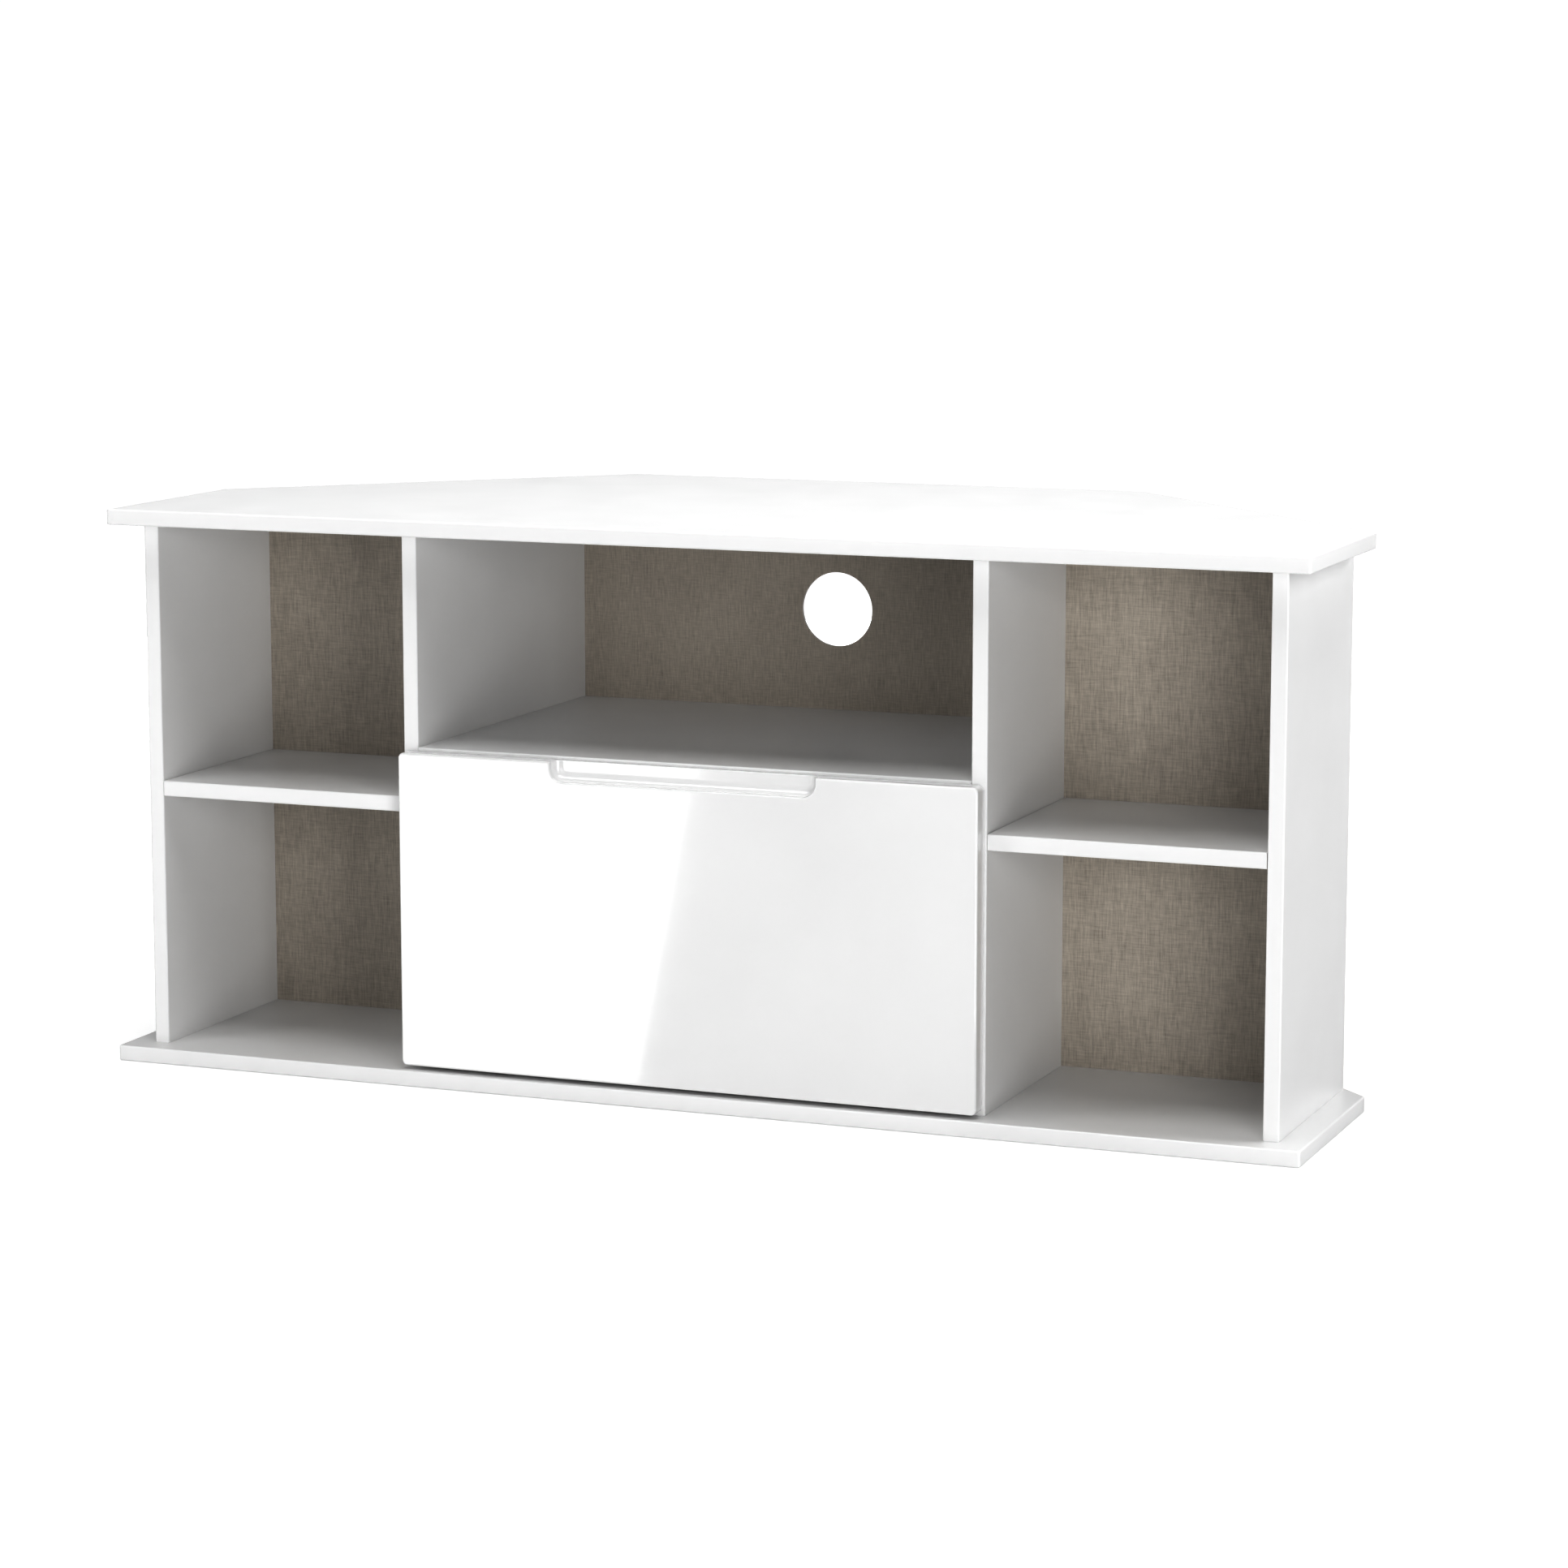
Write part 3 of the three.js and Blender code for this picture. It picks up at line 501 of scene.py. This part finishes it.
def back_sheet(node, tools=()):
    """The sheet's outline carried through its thickness, each face finished by where it looks."""
    low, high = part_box(node)
    path = [(low.z, low.x), (high.z, low.x), (high.z, high.x), (low.z, high.x)]
    sheet = slab(
        node + "_sheet", path, [0] * 4, sawn_rim(low.y, high.y, 0.1 * MM), "+y",
        [CLOTH_PRINT, HARDBOARD, MELAMINE],
    )
    if tools:
        drilled(sheet, tools)
    normals = np.zeros(len(sheet.data.polygons) * 3)
    sheet.data.polygons.foreach_get("normal", normals)
    facing = normals.reshape(-1, 3)[:, 1]
    kind = np.where(facing > 0.9, 1, np.where(facing < -0.9, 0, 2))
    sheet.data.polygons.foreach_set("material_index", kind.astype(np.int32))
    stand_in(sheet, "cabinet", "cloth_print_board", node)


def cable_hole():
    """A plain round cutter through the middle of the sheet above the centre shelf."""
    low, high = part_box("back_panel_centre")
    shelf_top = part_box("centre_shelf")[1].z
    centre = (0, (low.y + high.y) / 2, (shelf_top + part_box("top_board")[0].z) / 2)
    reach = 10 * MM
    section = [(0, -reach), (HOLE_RADIUS, -reach), (HOLE_RADIUS, reach), (0, reach)]
    return turned(section, centre, "+y", HOLE_FACETS)


back_sheet("back_panel_left")
back_sheet("back_panel_right")
back_sheet("back_panel_centre", [cable_hole()])

# ---------------------------------------------------------------- drawer front
# 18 mm MDF wrapped on the face and all four edges with high-gloss white film, vacuum-pressed
# over routed corners. A round-bottomed scoop routed into the top edge is the handle. The back
# is the board's own white facing, with a groove for the drawer bottom.
FACE_CORNER = 5 * MM  # radius of the front's corners, seen face on
FACE_EDGE = 2.2 * MM  # radius where the face turns into the edges
SCOOP_LIP, SCOOP_TOP, BACK_EDGE = 0.8, 0.35, 0.25  # other edges' radii, as parts of FACE_EDGE
SCOOP_HALF = 132 * MM
SCOOP_HEIGHT = 18.7 * MM
SCOOP_DEPTH = 13.5 * MM
SCOOP_CORNER = 13 * MM
SCOOP_COVE = 9 * MM
COVE_STEPS = 14


# High-gloss film, vacuum-pressed over MDF: a hard mirror-like coat with the faint long ripple
# that the board shows through it.
def gloss_finish():
    finish, tree, shader, place = new_finish(
        "gloss_film_vacuum_pressed", 0.06, IOR=1.5, Coat_Weight=0.6, Coat_Roughness=0.03,
    )
    cloud = grain(tree, place, 150 * MM)
    tree.links.new(between(tree, cloud, "#e9e9e9", "#ececec"), shader.inputs["Base Color"])
    smear = grain(tree, place, 45 * MM, detail=3)
    tree.links.new(between(tree, smear, 0.05, 0.09), shader.inputs["Roughness"])
    ripple = grain(tree, place, 14 * MM, detail=1)
    pressed(tree, shader, ripple, 0.02 * MM, 0.35)
    return finish


GLOSS = gloss_finish()


def scoop_path():
    """The scoop's outline seen face on, from its right end down, along and up its left end."""
    t = np.linspace(0, math.pi / 2, COVE_STEPS + 1)
    flat = SCOOP_HALF - SCOOP_CORNER
    right = np.column_stack([flat + SCOOP_CORNER * np.cos(t), -SCOOP_CORNER * np.sin(t)])
    left = (right * [-1, 1])[::-1]
    normals = np.column_stack([-np.cos(t), np.sin(t)])
    inward = np.concatenate([[[-1, 0]], normals, (normals * [-1, 1])[::-1], [[1, 0]]])
    low = SCOOP_HEIGHT - SCOOP_CORNER
    path = np.concatenate([right, left]) + [0, -low]
    path = np.concatenate([[[SCOOP_HALF, 0]], path, [[-SCOOP_HALF, 0]]])
    return path, inward


def drawer_front():
    """The front as faces between shared rows of points, before its edges are rounded.

    The scoop is its outline carried inwards: rows of the section are straight for the wall, then
    a quarter circle that ends on the flat back of the scoop."""
    low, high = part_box("drawer_front")
    corners = [(low.x, low.z), (high.x, low.z), (high.x, high.z), (low.x, high.z)]
    ring = outline_rings(corners, [FACE_CORNER] * 4, [0])[0]
    # the ring starts at the lower left corner and reaches the top edge's right end half way
    half = 3 * (ARC_STEPS + 1)
    ring = np.roll(ring, -half, 0)
    path, inward = scoop_path()
    t = np.linspace(0, math.pi / 2, COVE_STEPS + 1)
    offset = np.concatenate([[0], SCOOP_COVE * (1 - np.cos(t))])
    depth = np.concatenate([[0], SCOOP_DEPTH - SCOOP_COVE + SCOOP_COVE * np.sin(t)])
    rows = len(offset)
    flat = path[None] + offset[:, None, None] * inward[None]
    flat[:, [0, -1], 1] = 0
    scoop = np.stack([
        flat[..., 0], low.y + np.repeat(depth[:, None], len(path), 1), high.z + flat[..., 1],
    ], -1)
    count = len(path)
    front = np.column_stack([ring[:, 0], np.full(len(ring), low.y), ring[:, 1]])
    back = front + [0, high.y - low.y, 0]
    turn = len(ring)
    points = np.concatenate([scoop.reshape(-1, 3), front, back])
    base = rows * count
    row, along = np.meshgrid(np.arange(rows - 1), np.arange(count - 1), indexing="ij")
    a = row * count + along
    walls = np.stack([a, a + 1, a + count + 1, a + count], -1).reshape(-1, 4)
    a = base + np.arange(turn - 1)
    edge = np.stack([a, a + turn, a + turn + 1, a + 1], -1)
    scoop_rim = list(range(count))
    scoop_back = [(rows - 1) * count + i for i in range(count)]
    right_end = [r * count for r in range(rows)]
    left_end = [r * count + count - 1 for r in range(rows)]
    face = [base + i for i in range(turn)] + scoop_rim
    rear = [base + turn + i for i in range(turn)][::-1]
    top = [base + turn - 1, base + 2 * turn - 1, base + turn, base] + left_end + right_end[::-1]
    return points, walls.tolist() + edge.tolist() + [face, rear, top, scoop_back[::-1]]


def soften(piece):
    """Rounds every sharp edge of the front: weight 1 is FACE_EDGE, and the scoop's and the
    back's edges have the smaller weights of their own."""
    mesh = piece.data
    low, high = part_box("drawer_front")
    place = np.zeros(len(mesh.vertices) * 3)
    mesh.vertices.foreach_get("co", place)
    ends = np.zeros(len(mesh.edges) * 2, np.int32)
    mesh.edges.foreach_get("vertices", ends)
    x, y, z = np.moveaxis(place.reshape(-1, 3)[ends.reshape(-1, 2)], 2, 0)
    sharp = np.zeros(len(mesh.edges), bool)
    mesh.attributes["sharp_edge"].data.foreach_get("value", sharp)
    at_scoop = (np.abs(x).max(1) < SCOOP_HALF + MM) & (z.min(1) > high.z - SCOOP_HEIGHT - MM)
    at_face, at_back = y.mean(1) < low.y + MM, y.mean(1) > high.y - MM
    weight = np.where(at_scoop, np.where(at_face, SCOOP_LIP, SCOOP_TOP), 1.0)
    weight = np.where(at_back, BACK_EDGE, weight) * sharp
    layer = mesh.attributes.new("bevel_weight_edge", "FLOAT", "EDGE")
    layer.data.foreach_set("value", weight.astype(np.float32))
    # the scoop's back stays flat right up to the cove, so that its reflections are straight
    around_flat = np.abs(y - low.y - SCOOP_DEPTH).max(1) < 0.01 * MM
    mesh.attributes["sharp_edge"].data.foreach_set("value", sharp | around_flat)
    roll = piece.modifiers.new("rounded_edges", "BEVEL")
    roll.width, roll.segments, roll.limit_method = FACE_EDGE, 5, "WEIGHT"
    roll.use_clamp_overlap, roll.harden_normals = False, True


face_points, face_faces = drawer_front()
face_piece = make_piece("drawer_front_gloss", face_points, face_faces, [GLOSS, MELAMINE])
# the board's own facing shows at the back
facing = np.zeros(len(face_faces) * 3)
face_piece.data.polygons.foreach_get("normal", facing)
behind = facing.reshape(-1, 3)[:, 1] > 0.9
face_piece.data.polygons.foreach_set("material_index", behind.astype(np.int32))
soften(face_piece)
stand_in(face_piece, "drawer", "gloss_front", "drawer_front")

# ---------------------------------------------------------------- drawer box
# Sides and back of 12 mm chipboard wrapped in white foil, so that the top edges are round, with
# a 3 mm foiled bottom that slides into a groove in the sides and the front.
WRAPPED = 1.2 * MM
BOTTOM_GROOVE = 5 * MM
BOTTOM_ROOM = 0.25 * MM


# White foil wrapped on chipboard: thinner and a little greyer than melamine, with fine streaks
# from front to back, left by the roller that laid it.
def foil_finish():
    finish, tree, shader, place = new_finish("white_foil_wrapped", 0.48, IOR=1.48)
    streak = grain(tree, place, 3 * MM, (1, 12, 1), 3)
    tree.links.new(between(tree, streak, "#e1e1e1", "#e5e5e5"), shader.inputs["Base Color"])
    tree.links.new(between(tree, streak, 0.44, 0.54), shader.inputs["Roughness"])
    pressed(tree, shader, streak, 0.02 * MM, 0.5)
    return finish


FOIL = foil_finish()


def drawer_side(side):
    """The side's section, with the bottom's groove, carried from front to back."""
    low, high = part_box("drawer_side_" + side)
    floor_low, floor_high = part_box("drawer_bottom")
    sign = -1 if side == "left" else 1
    inner, outer = sorted((abs(low.x), abs(high.x)))
    g0, g1 = floor_low.z - BOTTOM_ROOM, floor_high.z + BOTTOM_ROOM
    # height then distance from the middle of the drawer, drawn for the right-hand side
    path = [
        (low.z, inner), (g0, inner), (g0, inner + BOTTOM_GROOVE), (g1, inner + BOTTOM_GROOVE),
        (g1, inner), (high.z, inner), (high.z, outer), (low.z, outer),
    ]
    radii = [0, 0, 0, 0, 0, WRAPPED, WRAPPED, WRAPPED]
    if sign < 0:
        path = [(z, -x) for z, x in path[::-1]]
        radii = radii[::-1]
    board = slab(f"drawer_side_{side}_foiled", path, radii, sawn_rim(low.y, high.y), "+y", [FOIL])
    stand_in(board, "drawer", "drawer_board", "drawer_side_" + side)


def drawer_back():
    """The back's section, rounded along its top, carried from side to side."""
    low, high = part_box("drawer_back")
    path = [(low.y, low.z), (high.y, low.z), (high.y, high.z), (low.y, high.z)]
    rim = sawn_rim(low.x, high.x)
    board = slab("drawer_back_foiled", path, [0, 0, WRAPPED, WRAPPED], rim, "+x", [FOIL])
    stand_in(board, "drawer", "drawer_board", "drawer_back")


def drawer_bottom():
    """The bottom's plan, carried through its thickness."""
    low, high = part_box("drawer_bottom")
    path = [(low.x, low.y), (high.x, low.y), (high.x, high.y), (low.x, high.y)]
    rim = sawn_rim(low.z, high.z, 0.1 * MM)
    sheet = slab("drawer_bottom_foiled", path, [0.5 * MM] * 4, rim, "+z", [FOIL])
    stand_in(sheet, "drawer", "drawer_board", "drawer_bottom")


drawer_side("left")
drawer_side("right")
drawer_back()
drawer_bottom()

# ---------------------------------------------------------------- runners
# Pressed from 1.25 mm steel strip and coated with white epoxy powder, each with the axle of
# its own roller riveted in. The channels are screwed to the dividers, and the rails carry the
# drawer's sides. The pressing is the CAD's own; on the real runner the powder softens its arrises.


# Epoxy powder on steel: a thick smooth skin with orange peel, thin on the arrises.
def powder_finish():
    finish, tree, shader, place = new_finish(
        "epoxy_powder_on_steel", 0.32, IOR=1.5, Coat_Weight=0.2, Coat_Roughness=0.15,
    )
    cloud = grain(tree, place, 25 * MM)
    tree.links.new(between(tree, cloud, "#dadad6", "#e3e3e0"), shader.inputs["Base Color"])
    peel = grain(tree, place, 1.5 * MM)
    tree.links.new(between(tree, peel, 0.27, 0.38), shader.inputs["Roughness"])
    pressed(tree, shader, peel, 0.08 * MM, 0.5)
    return finish


# Zinc plating, barrel-passivated: bluish metal with a cloudy bloom and fine handling scratches.
def zinc_finish():
    finish, tree, shader, place = new_finish("zinc_plated_steel", 0.32, Metallic=1.0)
    bloom = grain(tree, place, 4 * MM, detail=4)
    tree.links.new(between(tree, bloom, "#b4b8bd", "#d5d5cf"), shader.inputs["Base Color"])
    scratch = grain(tree, place, 0.8 * MM, (8, 1, 1), 4)
    tree.links.new(between(tree, scratch, 0.24, 0.42), shader.inputs["Roughness"])
    pressed(tree, shader, scratch, 0.02 * MM, 0.5)
    return finish


POWDER = powder_finish()
ZINC = zinc_finish()


def refinish(node, finish):
    """A CAD node whose shape is right keeps it, and gets the real finish."""
    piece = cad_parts[node]
    piece.data.materials.clear()
    piece.data.materials.append(finish)


for node in fixings("cabinet_runner") + fixings("drawer_runner"):
    refinish(node, POWDER)

# ---------------------------------------------------------------- rollers
# Four turned nylon rollers with rounded rims, a shallow recess in each face and a plain bore
# that runs on the runner's axle.


# Natural nylon, moulded and tumbled: milky, a little translucent, satin with fine flow marks.
def nylon_finish():
    finish, tree, shader, place = new_finish(
        "natural_nylon_moulded", 0.42, IOR=1.53, Subsurface_Weight=0.15, Subsurface_Scale=0.002,
    )
    flow = grain(tree, place, 2 * MM, (3, 1, 1), 3)
    tree.links.new(between(tree, flow, "#dedcd2", "#e9e7de"), shader.inputs["Base Color"])
    tree.links.new(between(tree, flow, 0.36, 0.5), shader.inputs["Roughness"])
    pressed(tree, shader, flow, 0.03 * MM, 0.5)
    return finish


NYLON = nylon_finish()
BORE = 2.6 * MM


def roller(node):
    """A closed section carried once round the axle: bore, recessed face, rim, face, bore."""
    low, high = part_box(node)
    half = (high.x - low.x) / 2
    radius = (high.z - low.z) / 2
    t = np.linspace(0, math.pi / 2, ARC_STEPS + 1)
    rim, recess = 0.8 * MM, 0.6 * MM
    hub = BORE + 1.6 * MM
    section = [(BORE, -half), (hub, -half), (hub + recess, recess - half)]
    section += [(radius - 3 * rim, recess - half), (radius - 2 * rim, -half), (radius - rim, -half)]
    section += [(radius - rim + rim * math.sin(a), rim * (1 - math.cos(a)) - half) for a in t[1:]]
    section += [(r, -h) for r, h in section[::-1]]
    points, faces = turned(section, middle(node), "+x", 64, closed=True)
    wheel = make_piece(node + "_turned", points, faces, [NYLON])
    stand_in(wheel, node, "nylon", node)


for node in fixings("cabinet_roller") + fixings("drawer_roller"):
    roller(node)

# ---------------------------------------------------------------- pins, screws and dowels
# Steel pins carry the loose shelves, long zinc screws with a six-sided socket pull the uprights
# on to the base, beech dowels place the top and the centre shelf, and short countersunk screws
# hold the runners.


# Beech dowel, moulded from rod: pale with short dark flecks along the grain.
def beech_finish():
    finish, tree, shader, place = new_finish("beech_dowel_rod", 0.7)
    fleck = grain(tree, place, 0.7 * MM, (1, 1, 8), 3)
    tree.links.new(between(tree, fleck, "#b98e5a", "#d9b985"), shader.inputs["Base Color"])
    tree.links.new(between(tree, fleck, 0.62, 0.8), shader.inputs["Roughness"])
    pressed(tree, shader, fleck, 0.1 * MM)
    return finish


BEECH = beech_finish()


def base_screw(node):
    """Head, six-sided socket, neck, then a shank whose thread climbs 2.5 mm each turn. The
    section is rows of radius and height in millimetres."""
    foot = middle(node)
    foot[2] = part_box(node)[0].z
    core, thread, pitch = 2.5, 0.9, 2.5
    climb = [(core, h, 1) for h in np.arange(8, 46.01, pitch / 8)]
    section = [(0, 3), (2, 3), (2, 0), (4.7, 0), (5, 0.3), (5, 1), (3.3, 4), (3.3, 7), (core, 7.6)]
    section += climb + [(core, 46.5), (1.3, 50), (0, 50)]
    section = [(r * MM, h * MM, *mark) for r, h, *mark in section]
    points, faces = turned(
        section, foot, "+z", 24, hexagon=(1, 2), pitch=pitch * MM, thread=thread * MM
    )
    screw = make_piece(node + "_threaded", points, faces, [ZINC])
    stand_in(screw, "cabinet", "zinc_steel", node)


def shelf_pin(node):
    """A thin end for the board, a collar and a thicker end with a domed tip. The section is
    rows of radius and height in millimetres."""
    low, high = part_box(node)
    y, z = middle(node)[1:]
    inner = "_inner_" in node
    outward = (1 if middle(node)[0] > 0 else -1) * (1 if inner else -1)
    face = low.x + PIN_HOLE if outward > 0 else high.x - PIN_HOLE
    section = [(0, -9), (2, -9), (2.5, -8.5), (2.5, 0.3), (3, 0.3), (3, 1.3), (2.8, 1.6)]
    section += [(2.8, 6.6), (2.6, 7.2), (2, 7.8), (0, 8)]
    section = [(r * MM, h * MM) for r, h in section]
    points, faces = turned(section, (face, y, z), "+x" if outward > 0 else "-x", 32)
    pin = make_piece(node + "_turned", points, faces, [ZINC])
    stand_in(pin, "cabinet", "zinc_steel", node)


def dowel(node, axis):
    """A rod with chamfered ends and shallow flutes: the radius dips sixteen times round."""
    half = 15 * MM
    section = [(0, -half), (3 * MM, -half), (4 * MM, MM - half), (4 * MM, half - MM)]
    section += [(3 * MM, half), (0, half)]
    points, faces = turned(section, (0, 0, 0), "+z", 64)
    angle = np.arctan2(points[:, 1], points[:, 0])
    points[:, :2] *= (1 - 0.03 * (np.cos(16 * angle) < 0))[:, None]
    points = points @ TURNS[axis].T + middle(node)
    peg = make_piece(node + "_fluted", points, faces, [BEECH])
    stand_in(peg, "cabinet", "beech", node)


for node in fixings("base_screw"):
    base_screw(node)
for node in fixings("shelf_pin"):
    shelf_pin(node)
for node in fixings("top_dowel"):
    dowel(node, "+z")
for node in fixings("centre_shelf_dowel"):
    dowel(node, "+x")
for node in fixings("runner_screw"):
    refinish(node, ZINC)

# ---------------------------------------------------------------- studio
# A pale light table, soft boxes and a white room. The sheet and the walls look white without
# throwing that much light on the cabinet. The camera stands to the right, a little above.
GLOW_THROWN = 0.1
GLOW_SEEN = 0.55
GLOW_FAR = 1.1
WALLS_THROWN = 0.01
WALLS_SEEN = 1.05
SHEET_HALF = 30.0
LENS_LENGTH = 100.70  # millimetres, on a 36 mm sensor
CAMERA_PLACE = (1.5448, -3.9123, 0.9323)
LOOKS_DOWN, LOOKS_LEFT = 9.002, 21.581  # degrees


# Opal acrylic lit from below: an even pale glow, with a faint cloud in the sheet.
def light_table_finish():
    finish, tree, shader, place = new_finish(
        "opal_acrylic_lit_from_below", 0.9, Specular_IOR_Level=0.1,
    )
    cloud = grain(tree, place, 400 * MM)
    tree.links.new(between(tree, cloud, "#c6c6c6", "#cacaca"), shader.inputs["Base Color"])
    shader.inputs["Emission Color"].default_value = (1, 1, 1, 1)
    # seen directly it is brighter than the light it throws on the object, and more so outwards,
    # where the top box no longer reaches
    away = add_node(tree, "ShaderNodeVectorMath", links={0: place}, operation="LENGTH")
    rise = {"From Min": 0.6, "From Max": 2.2, "To Min": GLOW_SEEN, "To Max": GLOW_FAR}
    bright = add_node(tree, "ShaderNodeMapRange", rise, {"Value": away.outputs["Value"]})
    seen = add_node(tree, "ShaderNodeLightPath").outputs["Is Camera Ray"]
    links = {0: seen, 3: bright.outputs["Result"]}
    glow = add_node(tree, "ShaderNodeMix", {2: GLOW_THROWN}, links)
    tree.links.new(glow.outputs[0], shader.inputs["Emission Strength"])
    return finish


def light_table():
    """One square sheet, flat on the ground and a hair below the base."""
    edge = np.array([-SHEET_HALF, SHEET_HALF])
    x, y = np.meshgrid(edge, edge)
    points = np.column_stack([x.ravel(), y.ravel(), np.full(4, -0.3 * MM)])
    floor = make_piece("light_table", points, [[0, 1, 3, 2]], [light_table_finish()])
    floor.visible_glossy = floor.visible_shadow = False


def soft_box(name, place, aim, width, height, power, roll=0.0):
    """A rectangular lamp of so many watts that faces its aim and is itself out of sight."""
    lamp = bpy.data.lights.new(name, "AREA")
    lamp.shape, lamp.size, lamp.size_y, lamp.energy = "RECTANGLE", width, height, power
    holder = bpy.data.objects.new(name, lamp)
    bpy.context.scene.collection.objects.link(holder)
    holder.location = place
    towards = np.array(aim, float) - np.array(place, float)
    yaw = math.atan2(-towards[0], towards[1])
    drop = math.atan2(-towards[2], math.hypot(towards[0], towards[1]))
    holder.rotation_euler = (math.pi / 2 - drop, roll, yaw)
    holder.visible_camera = False
    return holder


def white_room():
    """White walls: dim light on the object, but full white where they are seen directly."""
    world = bpy.data.worlds.new("white_room")
    world.use_nodes = True
    tree = world.node_tree
    shade = tree.nodes["Background"]
    shade.inputs["Color"].default_value = (1, 1, 1, 1)
    seen = add_node(tree, "ShaderNodeLightPath").outputs["Is Camera Ray"]
    walls = add_node(tree, "ShaderNodeMix", {2: WALLS_THROWN, 3: WALLS_SEEN}, {0: seen})
    tree.links.new(walls.outputs[0], shade.inputs["Strength"])
    world.cycles.sampling_method = "NONE"
    bpy.context.scene.world = world


def camera():
    lens = bpy.data.cameras.new("camera")
    lens.sensor_width = 36
    lens.lens = LENS_LENGTH
    lens.clip_end = 200
    holder = bpy.data.objects.new("camera", lens)
    bpy.context.scene.collection.objects.link(holder)
    holder.location = CAMERA_PLACE
    holder.rotation_euler = (math.radians(90 - LOOKS_DOWN), 0, math.radians(LOOKS_LEFT))
    bpy.context.scene.camera = holder


light_table()
white_room()
# place, aim, width and height in metres, power in watts
soft_box("right_box", (1.82, -2.45, 0.3), (0.2, -0.2, 0.3), 0.95, 1.8, 40)
soft_box("left_box", (-1.54, -1.40, 0.3), (0, -0.2, 0.3), 0.6, 1.8, 11)
soft_box("top_box", (0, -0.2, 2.6), (0, -0.19, 0.3), 2.4, 2.4, 88)
soft_box("end_box", (2.3, 0.45, 1.25), (0.59, 0.1, 0.27), 1.2, 1.4, 33)
# the rear box stands low, so that what passes the cable hole lands on nothing in view
soft_box("rear_box", (-1.8, 2.9, -0.3), (0, 0.2, 0.2), 2.0, 1.0, 60)
soft_box("front_box", (0.0, -4.5, 1.0), (0, -0.2, 0.3), 3.0, 2.0, 31)
# a tilted card that only the gloss film shows, as a bright field on the drawer's left half
card = soft_box(
    "gloss_card", (-1.69, -3.265, -0.38), (-1.69, 0, -0.38), 0.8, 1.4, 13, math.radians(10.8)
)
card.visible_diffuse = False
camera()
view = bpy.context.scene.view_settings
view.view_transform, view.look, view.exposure, view.gamma = "Standard", "None", 0, 0.65
